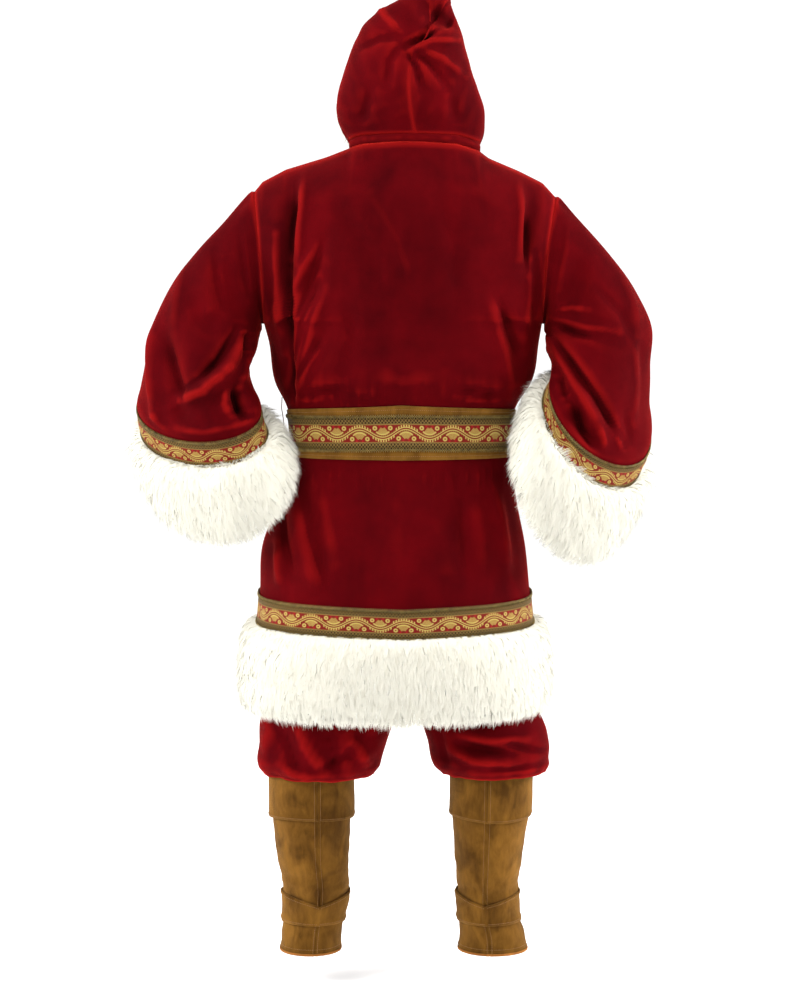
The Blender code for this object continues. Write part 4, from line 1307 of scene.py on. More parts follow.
def cloth(piece: bpy.types.Object, flat: tuple[float, float], area: float | None = None) -> bpy.types.Object:
    """Log a cloth piece's cut area beside the area it shows.

    Args:
        piece: The cloth.
        flat: Width and length of the cut, in millimetres.
        area: The cut's area in square millimetres, where it isn't a rectangle.

    Returns:
        The piece.
    """
    made = sum(face.area for face in piece.data.polygons)
    LOG.info("%s: cut %.3f m2, shown %.3f m2", piece.name, (area or flat[0] * flat[1]) * MM * MM, made)
    return (piece, flat[0] * MM, flat[1] * MM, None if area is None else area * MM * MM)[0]


@dataclass
class Coat:
    """The coat's body: a back and two fronts, with its hem, belt and neck band."""

    wardrobe: Wardrobe
    hem: float = 556.0
    waist_height: float = 1057.0
    waist_clear: float = 50.0    # no folds so near the belt's middle
    underarm: float = 1265.0
    shoulder_roll: float = 92.0
    squareness: float = 2.4
    arm_blend: float = 0.273   # share of the armhole over which the sections lose their squareness
    armhole_back: float = 75.0
    armhole_front: float = 66.0
    neck_centre: float = -22.0
    neck_half_width: float = 122.0
    neck_back: float = 85.0
    neck_front: float = 82.0
    neck_drop: float = 62.0
    neck_stand: float = 15.0
    seam: float = 0.3
    low_rows: int = 86
    high_rows: int = 50
    back_columns: int = 148
    front_columns: int = 40
    belt_bottom: tuple[float, float] = (1017.0, 1014.0)   # at the sides, at the centre back
    belt_top: tuple[float, float] = (1102.0, 1116.0)
    belt_off: float = 0.6
    belt_height: float = 1058.0
    brocade_height: float = 62.0
    trim_top: float = 757.0
    trim_bottom: float = 704.0
    hem_sag: float = 15.0
    fur_bottom: float = 541.0
    repeat: float = 86.0

    def share_of(self, turn: Array) -> tuple[Array, Array]:
        """Share of the width and of the depth at a turn of -1 to 1.

        Args:
            turn: -1 at the wearer's right to 1 at the left.

        Returns:
            Both shares.
        """
        angle = turn * math.pi / 2
        power = 2 / self.squareness
        return np.sign(turn) * np.abs(np.sin(angle)) ** power, np.abs(np.cos(angle)) ** power

    def neckline_depth(self, x: Array, back: bool) -> Array:
        """Depth of the neckline at a distance across, 0 out on the shoulder seams."""
        off = (x - self.neck_centre) / self.neck_half_width
        return (self.neck_back if back else self.neck_front) * np.sqrt(np.maximum(0.0, 1.0 - off * off))

    def top(self, x: Array, back: bool) -> Array:
        """Height of the body's upper edge at a distance across."""
        height = np.interp(x, [row[0] for row in SHOULDER_LINE], [row[1] for row in SHOULDER_LINE])
        return height if back else height - self.neck_drop * self.neckline_depth(x, False) / self.neck_front

    def low(self, turn: Array, height: Array, back: bool) -> Array:
        """Points of the body under the arms.

        Args:
            turn: -1 at the wearer's right to 1 at the left.
            height: Heights above the floor.
            back: Whether the back or the front is wanted.

        Returns:
            Points without folds.
        """
        turn, height = np.broadcast_arrays(turn, height)
        wide, deep = self.share_of(turn)
        left, right = curve(BODY_SECTIONS, 1, height), curve(BODY_SECTIONS, 2, height)
        x = (left - right) / 2 + wide * (left + right) / 2
        y = curve(BODY_SECTIONS, 3 if back else 4, height) * deep * (1 if back else -1)
        return np.stack([x, y, height], axis=-1)

    def high(self, turn: Array, share: Array, back: bool) -> Array:
        """Points of the body beside the arms.

        Args:
            turn: -1 at the wearer's right to 1 at the left.
            share: 0 at the underarm to 1 at the shoulder.
            back: Whether the back or the front is wanted.

        Returns:
            Points without folds.
        """
        turn, share = np.broadcast_arrays(turn, share)
        wide, _ = self.share_of(turn)
        rise = (1 - np.cos(math.pi * share)) / 2
        flat = ease(rise / self.arm_blend)
        wide = wide + (turn - wide) * flat
        left, right = curve(ARMHOLE, 1, rise), curve(ARMHOLE, 2, rise)
        x = (left + right) / 2 + wide * (left - right) / 2
        top = self.top(x, back)
        h = self.underarm + (top - self.underarm) * rise
        power = 1 / self.squareness + (1 - 1 / self.squareness) * flat
        full = np.maximum(0.0, 1 - np.abs(wide) ** self.squareness) ** power
        edge = (self.armhole_back if back else self.armhole_front) * np.sin(math.pi * share)
        drop = np.minimum(1.0, (top - h) / self.shoulder_roll)
        roll = np.sqrt(np.maximum(0.0, 1 - (1 - drop) ** 2))
        upper = self.neckline_depth(x, back)
        rounded = upper + (curve(BODY_SECTIONS, 3 if back else 4, h) - upper) * roll
        y = (edge * (1 - full) + rounded * full) * (1 if back else -1)
        return np.stack([x, y, h], axis=-1)

    def panel(self, turns: Array, back: bool, folds: tuple) -> Array:
        """One body panel with its folds.

        Args:
            turns: The panel's columns.
            back: Whether it is the back.
            folds: Its table of folds.

        Returns:
            Its grid, hem to shoulder.
        """
        heights = np.linspace(self.hem, self.underarm, self.low_rows, endpoint=False)
        shares = np.arccos(1 - 2 * np.linspace(0, 1, self.high_rows)) / math.pi
        grid = np.concatenate([self.low(turns[None], heights[:, None], back),
                               self.high(turns[None], shares[:, None], back)])
        normals = grid_normals(grid, False)
        x, h = grid[..., 0], grid[..., 2]
        waist = np.abs(h - self.waist_height)
        free = ease((waist - self.waist_clear) / 26.0) * ease((self.top(x, back) - h) / 70.0)
        free *= ease((h - self.trim_top) / 60.0) * ease((1 - np.abs(turns[None])) / 0.16)
        if not back:
            free = free * ease(np.abs(turns[None]) / 0.1)
        push = fold_push(x, h, folds) + 1.1 * ripple(x, h, 11 + int(back), 150.0)
        gathers = ripple(x * 3.2, h * 0.6, 21 + int(back), 120.0) * 2.6 * np.exp(-((waist - 60.0) / 34.0) ** 2)
        grid += normals * ((push + gathers) * free)[..., None]
        return grid

    def round(self, heights: Array, columns: int = 60) -> tuple[Array, Array, Array]:
        """The body's surface from the centre front round the left and back to the centre front.

        Args:
            heights: Heights, one a row, or one for each row and column.
            columns: Columns across half the back.

        Returns:
            Points, level directions away from the cloth, and how far behind each column is.
        """
        quarter = np.linspace(0, 1, columns)
        front_left, back = quarter[:-1], np.linspace(1, -1, 2 * columns - 1)
        front_right = np.linspace(-1, 0, columns)[1:]
        turns = np.concatenate([front_left, back, front_right])
        behind = np.concatenate([np.zeros(columns - 1), np.ones(2 * columns - 1), np.zeros(columns - 1)]) > 0
        points = np.where(behind[None, :, None], self.low(turns[None], heights, True),
                          self.low(turns[None], heights, False))
        ahead = np.gradient(points, axis=1)
        out = unit(np.stack([ahead[..., 1], -ahead[..., 0], np.zeros(ahead.shape[:2])], axis=-1))
        out *= np.sign((out * points * (1, 1, 0)).sum(axis=-1).mean())
        middle = points.mean(axis=0)
        backness = np.maximum(0.0, middle[:, 1] / (np.abs(middle[:, 1]) + np.abs(middle[:, 0]) * 0.6 + 1e-9))
        return points, out, backness

    def build_panels(self) -> None:
        """Build the back and the fronts."""
        half = np.concatenate([[0.0, 0.006], np.linspace(0.024, 1, self.front_columns - 2)])
        panels = (
            ("back", np.linspace(1, -1, self.back_columns), True, BACK_FOLDS, "coat_back", (640, 1080)),
            ("left", half, False, FRONT_FOLDS, "coat_front_left", (400, 1060)),
            ("right", -half[::-1], False, FRONT_FOLDS, "coat_front_right", (390, 1060)),
        )
        for word, turns, back, folds, node, cut in panels:
            grid = self.panel(turns, back, folds)
            if not back:
                grid[:, 0 if word == "left" else -1, 0] += 0.2 if word == "left" else -0.2
            piece = own(sheet_mesh(node + "_velvet", grid, self.wardrobe.velvet, wall=WALL), "velvet", node)
            cloth(piece, cut, area=cut[0] * cut[1] * 0.93)

    def build_hem(self) -> None:
        """Build the hem's brocade band, its looped edges and its fur."""
        flat = self.round(np.array([[self.trim_top]]), 60)
        sag = self.hem_sag * flat[2]
        share = np.linspace(0, 1, 8)[:, None]
        heights = self.trim_bottom - sag[None] + share * (self.trim_top - self.trim_bottom)
        points, out, _ = self.round(heights)
        wave = 0.8 * ripple(points[..., 0], points[..., 1], 31, 70.0)
        band = points + out * (1.3 + np.maximum(wave, 0) * 0.6)[..., None]
        trim = own(sheet_mesh("hem_trim_brocade", band[::-1], self.wardrobe.brocade, wall=BROCADE_WALL, outward=True,
                              repeat=self.repeat), "brocade", "hem_trim")
        loops = self.braid("hem_trim_gimp", band, out)
        cloth(trim, (1540, 54))
        # Fur: down the outside, round the lower edge and up inside; off is from the coat.
        tall = self.trim_bottom - self.fur_bottom
        section = ((1.00, 3.0), (0.985, 8.0), (0.93, 14.0), (0.80, 18.5), (0.60, 20.5), (0.40, 21.0), (0.24, 20.0),
                   (0.13, 17.0), (0.075, 12.0), (0.055, 5.0), (0.055, -1.0), (0.09, -4.0), (0.18, -4.6))
        level = np.array([row[0] for row in section])
        level = np.interp(np.linspace(0, 12, 30), range(13), level)[:, None]
        off = np.interp(np.linspace(0, 12, 30), range(13), [row[1] for row in section])[:, None]
        drop = sag[None] * (0.25 + 0.75 * level)
        heights = self.fur_bottom + level * tall - drop
        points, out, _ = self.round(np.maximum(heights, self.hem), 60)
        points[..., 2] = heights
        lumps = 1.6 * ripple(points[..., 0] + points[..., 1], points[..., 2], 33, 60.0)
        grid = points + out * (off + lumps * (off > 6))[..., None]
        pelt = Pelt("hem_fur_backing", grid, False, 86000, length=27.0, lean=1.26, seed=5, parts=2,
                    lean_rows=(1.1, 1.0, 1.0, 1.0, 0.7, 0.8), length_rows=(0.6, 1.0, 1.0, 1.0, 0.8, 0.3))
        backing, hair = pelt.build(self.wardrobe)
        own(backing, "fur", "hem_fur")
        for piece in hair:
            own(piece, "fur")
        cloth(backing, (1560, 205))

    def braid(self, name: str, band: Array, out: Array, closed: bool = False) -> bpy.types.Object:
        """The looped braids along both edges of a brocade band.

        Args:
            name: The piece's name.
            band: The band's grid.
            out: Directions away from the cloth, one a point.
            closed: Whether the band goes all round.

        Returns:
            The braids.
        """
        lines = []
        for row, inner in ((0, 1), (-1, -2)):
            up = unit(band[row] - band[inner])
            edge = band[row] + out[row] * (BROCADE_WALL + 0.2)
            lines += gimp_lines(edge, out[row], up, closed)
        return own(tube_mesh(name, lines, 0.62, self.wardrobe.gimp, closed=closed), "brocade")

    def build_belt(self) -> None:
        """Build the suede belt, its brocade, stitching, buckle and loops."""
        behind = self.round(np.array([[self.belt_height]]))[2]
        low = self.belt_bottom[0] + (self.belt_bottom[1] - self.belt_bottom[0]) * behind
        high = self.belt_top[0] + (self.belt_top[1] - self.belt_top[0]) * behind
        share = np.linspace(0, 1, 15)[:, None]
        points, out, _ = self.round(low[None] + share * (high - low)[None])
        rim = 0.7 * np.exp(-(((np.minimum(share, 1 - share)) - 0.045) / 0.03) ** 2)
        soft = 0.35 * ripple(points[..., 0] + points[..., 1], points[..., 2] * 2, 41, 60.0)
        grid = points + out * (self.belt_off + rim + np.abs(soft))[..., None]
        belt = own(sheet_mesh("belt_suede", grid, self.wardrobe.suede, wall=SUEDE_WALL, outward=True), "suede",
                   "belt")
        rows, away = [], []
        for place in (1, -2):
            rows.append(grid[place] + out[place] * SUEDE_WALL)
            away.append(out[place])
        sewn = own(stitch_mesh("belt_stitching", rows, away, self.wardrobe.stitch), "suede")
        cloth(belt, (1150, 98))
        middle = (low + high) / 2
        share = np.linspace(-0.5, 0.5, 8)[:, None]
        points, out, _ = self.round(middle[None] + share * self.brocade_height)
        band = points + out * (self.belt_off + SUEDE_WALL + 0.9)
        trim = own(sheet_mesh("belt_trim_brocade", band[::-1], self.wardrobe.brocade, wall=BROCADE_WALL, outward=True,
                              repeat=self.repeat), "brocade", "belt_trim")
        loops = self.braid("belt_trim_gimp", band, out)
        cloth(trim, (1150, 62))
        for side in Side:
            self.build_loop(side)
        self.build_buckle(points, middle[0])

    def build_loop(self, side: Side) -> None:
        """Build a velvet belt loop at a side seam.

        Args:
            side: Its side.
        """
        rows = ((992.0, 0.0), (1000.0, 5.0), (1008.0, 10.0), (1030.0, 11.6), (1058.0, 12.0), (1084.0, 11.4),
                (1106.0, 10.0), (1117.0, 5.0), (1126.0, 0.0))
        off = {Side.LEFT: 0.9, Side.RIGHT: 1.2}[side]
        strip = []
        for height, away in rows:
            point = self.low(np.array(float(side.value)), np.array(height), True)
            point = point + np.array([side.value * (away + off), 0.0, 0.0])
            strip.append([point + np.array([0.0, y, 0.35 * abs(y) - 1]) for y in np.linspace(-4.0, 4.0, 5)])
        piece = sheet_mesh(f"belt_loop_{side.word}_velvet", np.array(strip), self.wardrobe.velvet, wall=1.2,
                           outward=True)
        cloth(own(piece, "velvet", f"belt_loop_{side.word}"), (10, 150))

    def build_buckle(self, coat: Array, middle: float) -> None:
        """Build the plain buckle's frame with softened edges; its prong keeps its solid.

        Args:
            coat: Points of the belt's line round the coat; not used.
            middle: Height of the belt's middle at the centre front.
        """
        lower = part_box("belt_buckle")[0]
        front = lower[1] / MM
        width, height, bar, deep = 74.0, 122.0, 8.0, 4.0
        lines = []
        for inset in (0.0, bar):
            x, z, corner = width / 2 - inset, height / 2 - inset, 9.0 if inset == 0.0 else 3.0
            ring = []
            for turn, (sx, sz) in enumerate(((1, 1), (-1, 1), (-1, -1), (1, -1))):
                for step in np.linspace(0, math.pi / 2, 7):
                    angle = turn * math.pi / 2 + step
                    ring.append((sx * (x - corner) + corner * math.cos(angle),
                                 sz * (z - corner) + corner * math.sin(angle)))
            lines.append(np.array(ring))
        outer, inner = lines
        section = ((0.0, 0.15), (0.12, 0.0), (0.88, 0.0), (1.0, 0.15), (1.0, 0.85), (0.88, 1.0), (0.12, 1.0),
                   (0.0, 0.85))
        rings = []
        for share, back in section:
            flat = outer + (inner - outer) * share
            rings.append(np.stack([flat[:, 0], np.full(len(flat), front + back * deep), flat[:, 1] + middle],
                                  axis=1))
        grid = np.array(rings + rings[:1])
        piece = raw_mesh("belt_buckle_brass", grid.reshape(-1, 3), grid_faces(len(grid), grid.shape[1], True),
                         self.wardrobe.brass)
        own(piece, "brass", "belt_buckle")
        prong = bpy.data.objects["belt_prong"]
        for place in prong.material_slots:
            place.material = self.wardrobe.brass

    def build_neck_band(self) -> None:
        """Build the narrow rolled stand between the coat and the hood."""
        angle = np.radians(np.linspace(-149, 149, 110))[None]
        share = np.concatenate([[-0.5, -0.16], np.linspace(0, 1, 9), [1.16, 1.5]])[:, None]
        x = self.neck_centre + self.neck_half_width * np.sin(angle)
        back = np.cos(angle) > 0
        y = np.where(back, self.neck_back, self.neck_front) * np.cos(angle)
        base = np.where(back, self.top(x, True), self.top(x, False))
        h = base + 0.6 + share * (self.neck_stand - 1.8)
        inside = np.clip(share, 0, 1)
        puff = np.sin(math.pi * inside) * (1.7 + 0.8 * ripple(x * 2, y * 2, 51, 90.0))
        puff = puff - 9.0 * np.abs(share - inside)
        grid = np.stack([x + np.sin(angle) * puff, y + np.cos(angle) * puff, h], axis=-1)
        piece = own(sheet_mesh("neck_band_velvet", grid, self.wardrobe.velvet, wall=WALL), "velvet", "neck_band")
        cloth(piece, (560, 30))

    def build(self) -> None:
        """Build the whole body."""
        self.build_neck_band()
        self.build_panels()
        self.build_hem()
        self.build_belt()


@dataclass
class Sleeve:
    """A bell sleeve with its brocade band and its deep fur cuff."""

    coat: Coat
    side: Side
    rings: Table
    folds: tuple
    rows: int = 104
    columns: tuple[int, int] = (72, 38)     # up the back and down the front
    trim_from: float = 7.0
    trim_to: float = 8.0

    def surface(self, step: Array, turn: Array) -> Array:
        """Points of the sleeve without folds.

        Args:
            step: 0 at the armhole to 9 at the lower edge.
            turn: 0 at the underarm, up the back, over, and down the front to 1.

        Returns:
            The points.
        """
        step, turn = np.broadcast_arrays(step, turn)
        sign, angle = self.side.value, turn * 2 * math.pi
        share = np.where(turn <= 0.5, turn * 2, 2 - turn * 2)
        ends = np.full(share.shape, float(sign))
        seam = np.where((turn <= 0.5)[..., None], self.coat.high(ends, share, True),
                        self.coat.high(ends, share, False))
        seam = seam + np.array([sign * 0.45, 0, 0])
        at = np.maximum(step, 1.0)
        outer = np.stack([curve(self.rings, 1, at), curve(self.rings, 2, at)], axis=-1)
        inner = np.stack([curve(self.rings, 3, at), curve(self.rings, 4, at)], axis=-1)
        flat = (outer + inner) / 2 + (inner - outer) / 2 * np.cos(angle)[..., None]
        y = curve(self.rings, 5, at) + curve(self.rings, 6, at) * np.sin(angle)
        y = y + curve(self.rings, 9, at) * np.cos(angle)
        sag, shift = curve(self.rings, 7, at) * np.sin(angle), curve(self.rings, 8, at) * np.sin(angle)
        point = np.stack([flat[..., 0] - sign * shift, y, flat[..., 1] - sag], axis=-1)
        start = seam + np.array([sign * 5.0, 0, 0])
        lead = seam + np.minimum(step / 0.04, 1.0)[..., None] * np.array([sign * 5.0, 0, 0])
        blend = np.clip((step - 0.04) / 0.96, 0, 1)[..., None]
        return np.where((step < 1.0)[..., None], lead + (point - start) * blend, point)

    def grid(self, steps: Array, turns: Array) -> Array:
        """Points of the sleeve with its folds, pleats and pouch.

        Args:
            steps: Steps down the sleeve, one a row.
            turns: Turns round it, one a column.

        Returns:
            The points.
        """
        grid = self.surface(steps[:, None], turns[None])
        normals = grid_normals(grid, True)
        free = ease((steps - 0.3) / 1.2) * ease((self.trim_from - 0.1 - steps) / 0.5)
        behind = ease(np.abs(normals[..., 1]) / 0.6)
        push = fold_push(grid[..., 0], grid[..., 2], self.folds) * behind * free[:, None]
        around = turns[None] * 2 * math.pi
        cap = np.exp(-((turns[None] - 0.5) / 0.13) ** 2) * ease(steps[:, None] / 0.12)
        cap = cap * np.exp(-((steps[:, None] - 0.2) / 0.5) ** 2)
        push = push + 1.7 * np.sin(11 * around) * cap
        drape = ripple(steps[:, None] * 60 + grid[..., 0] * 0.2, around * 90, 61 + self.side.value, 190.0)
        push = push + 1.6 * drape * free[:, None]
        pouch = np.exp(-((steps[:, None] - self.trim_from + 0.35) / 0.42) ** 2) * ease(
            (self.trim_from - steps[:, None]) / 0.12)
        push = push + pouch * (3.5 + 2.5 * ripple(around * 60, steps[:, None], 71 + self.side.value, 160.0))
        return grid + normals * push[..., None]

    def build(self) -> None:
        """Build the sleeve, its band and its cuff."""
        wardrobe, word = self.coat.wardrobe, self.side.word
        back, front = self.columns
        turns = np.concatenate([np.linspace(0, 0.5, back, endpoint=False), np.linspace(0.5, 1, front, endpoint=False)])
        steps = np.concatenate([[0.0, 0.04], np.linspace(0.12, 9.0, self.rows)])
        grid = self.grid(steps, turns)
        middle = grid[0].mean(axis=0)
        tucked = middle + (grid[0] - middle) * 0.965 - np.array([self.side.value * 5.0, 0.0, 0.0])
        grid = np.concatenate([tucked[None], grid])
        piece = own(sheet_mesh(f"sleeve_{word}_velvet", grid, wardrobe.velvet, wrap=True, wall=WALL), "velvet",
                    f"sleeve_{word}")
        cloth(piece, (640, 640), area=640 * 640 * 0.86)
        columns = np.linspace(0, 1, 120, endpoint=False)
        lines = self.grid(np.linspace(self.trim_from, self.trim_to, 9), columns)
        full = self.grid(np.linspace(0.0, 9.0, 91), columns)
        normals = grid_normals(full, True)[70:81]
        away = np.stack([normals[round(k)] for k in np.linspace(0, 10, 9)])
        band = lines + away * 0.7
        trim = own(sheet_mesh(f"cuff_trim_{word}_brocade", band, wardrobe.brocade, wrap=True, wall=BROCADE_WALL,
                              outward=True, repeat=self.coat.repeat), "brocade", f"cuff_trim_{word}")
        loops = self.coat.braid(f"cuff_trim_{word}_gimp", band, away, closed=True)
        cloth(trim, (600, 54))
        self.build_cuff(columns)

    def build_cuff(self, columns: Array) -> None:
        """Build the fur cuff.

        Args:
            columns: Turns of its columns.
        """
        wardrobe, word = self.coat.wardrobe, self.side.word
        last = self.surface(np.linspace(8.0, 9.0, 21)[:, None], columns[None])
        normals = grid_normals(last, True)
        run = last[-1] - last[0]
        # Down the outside, round the end and up inside: share of the length, distance off.
        section = ((-0.02, 2.4), (0.0, 8.0), (0.08, 14.5), (0.25, 19.5), (0.45, 21.0), (0.65, 21.0), (0.85, 19.5),
                   (0.99, 16.0), (1.07, 10.0), (1.09, 3.0), (1.06, -2.0), (0.95, -3.2))
        places = np.linspace(0, 11, 28)
        level = np.interp(places, range(12), [row[0] for row in section])
        off = np.interp(places, range(12), [row[1] for row in section])
        rows = []
        for share, away in zip(level, off):
            at = min(max(share, 0.0), 1.0) * 20
            k, t = min(int(at), 19), at - min(int(at), 19)
            point = last[k] + (last[k + 1] - last[k]) * t
            out = unit(normals[k] + (normals[k + 1] - normals[k]) * t)
            extra = share - 1.0 if share > 1.0 else min(share, 0.0)
            rows.append(point + out * away + run * extra)
        grid = np.array(rows)
        lumps = ripple(grid[..., 0] + grid[..., 1], grid[..., 2], 81 + self.side.value, 55.0) * 1.8
        grid += grid_normals(grid, True) * (lumps * (off[:, None] > 6))[..., None]
        pelt = Pelt(f"cuff_fur_{word}_backing", grid, True, 44000, length=28.0, lean=1.08,
                    seed=90 + self.side.value,
                    lean_rows=(0.9, 1.0, 1.0, 1.0, 0.75, 0.8), length_rows=(0.7, 1.0, 1.05, 1.0, 0.8, 0.3))
        backing, hair = pelt.build(wardrobe)
        own(backing, "fur", f"cuff_fur_{word}")
        for piece in hair:
            own(piece, "fur")
        cloth(backing, (640, 190))


@dataclass
class Hood:
    """The hood's two halves and the fur round its face opening."""

    coat: Coat
    rows: int = 64
    columns: int = 60
    bend: float = 0.62         # share of a half's columns that go round the back of the head
    close: float = 60.0        # degrees the lower edge goes on past the side
    face: float = -108.0       # the face opening's plane at cheek height

    def surface(self, share: Array, turn: Array, side: Side) -> Array:
        """Points of one half without creases.

        Args:
            share: 0 at the neck to 1 at the top seam.
            turn: 0 at the centre back seam to 1 at the face opening.
            side: Which half.

        Returns:
            The points.
        """
        share, turn = np.broadcast_arrays(share, turn)
        coat, sign = self.coat, side.value
        half, middle = curve(HOOD_SECTIONS, 1, share), curve(HOOD_SECTIONS, 2, share)
        back = curve(HOOD_SECTIONS, 3, share)
        around = turn < self.bend
        angle = np.clip(turn / self.bend, 0, 1) * math.pi / 2
        along = np.clip((turn - self.bend) / (1 - self.bend), 0, 1)
        beyond = math.radians(self.close) * along
        apart = ease(share / 0.45)
        x = np.where(around, half * np.sin(angle),
                     half * (np.cos(beyond) + ((1 - 0.12 * along * along) - np.cos(beyond)) * apart))
        front = coat.neck_front * np.sin(beyond)
        y = np.where(around, back * np.cos(angle), -front + (self.face * along + front) * apart)
        foot = coat.neck_centre + sign * coat.neck_half_width * np.where(around, np.sin(angle), np.cos(beyond))
        low = np.where(around, coat.top(foot, True), coat.top(foot, False)) + coat.neck_stand
        h = low + (curve(HOOD_RIDGE, 1, turn) - low) * share
        return np.stack([middle + sign * x, y, h], axis=-1)

    def grid(self, side: Side) -> Array:
        """One half with the flopped point's hollow, its lip and the creases from them.

        Args:
            side: The half's side.

        Returns:
            The points.
        """
        shares = np.concatenate([np.linspace(0, 0.9, self.rows - 12), np.linspace(0.9, 1.0, 13)[1:]])
        turns = np.linspace(0, 1, self.columns)
        grid = self.surface(shares[:, None], turns[None], side)
        normals = grid_normals(grid, False)
        normals[..., 0] *= ease(turns[None] / 0.12)
        normals = unit(normals)
        x, y, h = grid[..., 0], grid[..., 1], grid[..., 2]
        deep = fold_push(x, h, HOOD_FOLDS[:2]) * ease((y + 40.0) / 70.0) * ease((shares[:, None] - 0.1) / 0.1)
        fine = fold_push(x, h, HOOD_FOLDS[2:]) * ease((y + 20.0) / 60.0) * ease((shares[:, None] - 0.06) / 0.1)
        fine *= ease((1 - shares[:, None]) / 0.06)
        sag = 1.2 * ripple(x + side.value * 40, h + y, 111 + side.value, 90.0)
        sag *= ease(shares[:, None] / 0.08) * ease((1 - shares[:, None]) / 0.1) * ease(turns[None] / 0.05)
        grid[..., 1] += deep
        grid[..., 2] += np.minimum(deep, 0.0) * 0.25
        grid += normals * (fine + sag)[..., None]
        # The seam's turned-in edges draw the cloth slightly in.
        seam = np.exp(-(turns[None] / 0.02) ** 2) * np.ones_like(h)
        grid -= normals * (1.1 * seam)[..., None]
        grid[:, 0, 0] = curve(HOOD_SECTIONS, 2, shares) + side.value * 0.1
        grid[-1, :, 0] = HOOD_SECTIONS[-1][2] + side.value * 0.1
        return grid

    def build(self) -> None:
        """Build both halves and the fur."""
        wardrobe = self.coat.wardrobe
        grids = {side: self.grid(side) for side in Side}
        for side, grid in grids.items():
            tucked = grid[:, :1] + np.array([-side.value * 3.0, -2.4, 0.0])
            tucked = np.concatenate([tucked, grid], axis=1)
            under = tucked[-1:] + np.array([-side.value * 3.0, 0.0, -2.4])
            tucked = np.concatenate([tucked, under])
            piece = own(sheet_mesh(f"hood_{side.word}_velvet", tucked, wardrobe.velvet, wall=WALL), "velvet",
                        f"hood_{side.word}")
            cloth(piece, (330, 330), area=330 * 330 * 0.9)
        left, right = grids[Side.LEFT], grids[Side.RIGHT]
        rows = []
        # Across the fur: steps back from the edge, distance off the velvet, distance ahead of it.
        section = ((5.0, 2.0, 0.0), (4.0, 8.0, 0.0), (2.6, 13.0, 0.0), (1.2, 14.0, 0.0), (0.0, 12.0, 4.0),
                   (0.0, 5.0, 8.0), (0.0, -1.0, 6.0), (0.0, -4.0, 1.0))
        for back, off, front in section:
            line = []
            for grid in (left, right[::-1]):
                normals = grid_normals(grid, False)
                edge, near = grid[:, -1], grid[:, -2]
                ahead = unit(edge - near)
                whole = int(back)
                at = grid[:, -1 - whole] + (grid[:, -2 - whole] - grid[:, -1 - whole]) * (back - whole)
                line.append(at + normals[:, -1] * off + ahead * front)
            line[1] = line[1][1:]
            rows.append(np.concatenate(line))
        grid = np.array(rows)
        pelt = Pelt("hood_fur_backing", grid, False, 15000, length=20.0, lean=0.9, seed=13, clump=9.0,
                    length_rows=(0.6, 1.0, 1.0, 0.8))
        backing, hair = pelt.build(wardrobe)
        own(backing, "fur", "hood_fur")
        for piece in hair:
            own(piece, "fur")
        cloth(backing, (560, 58))


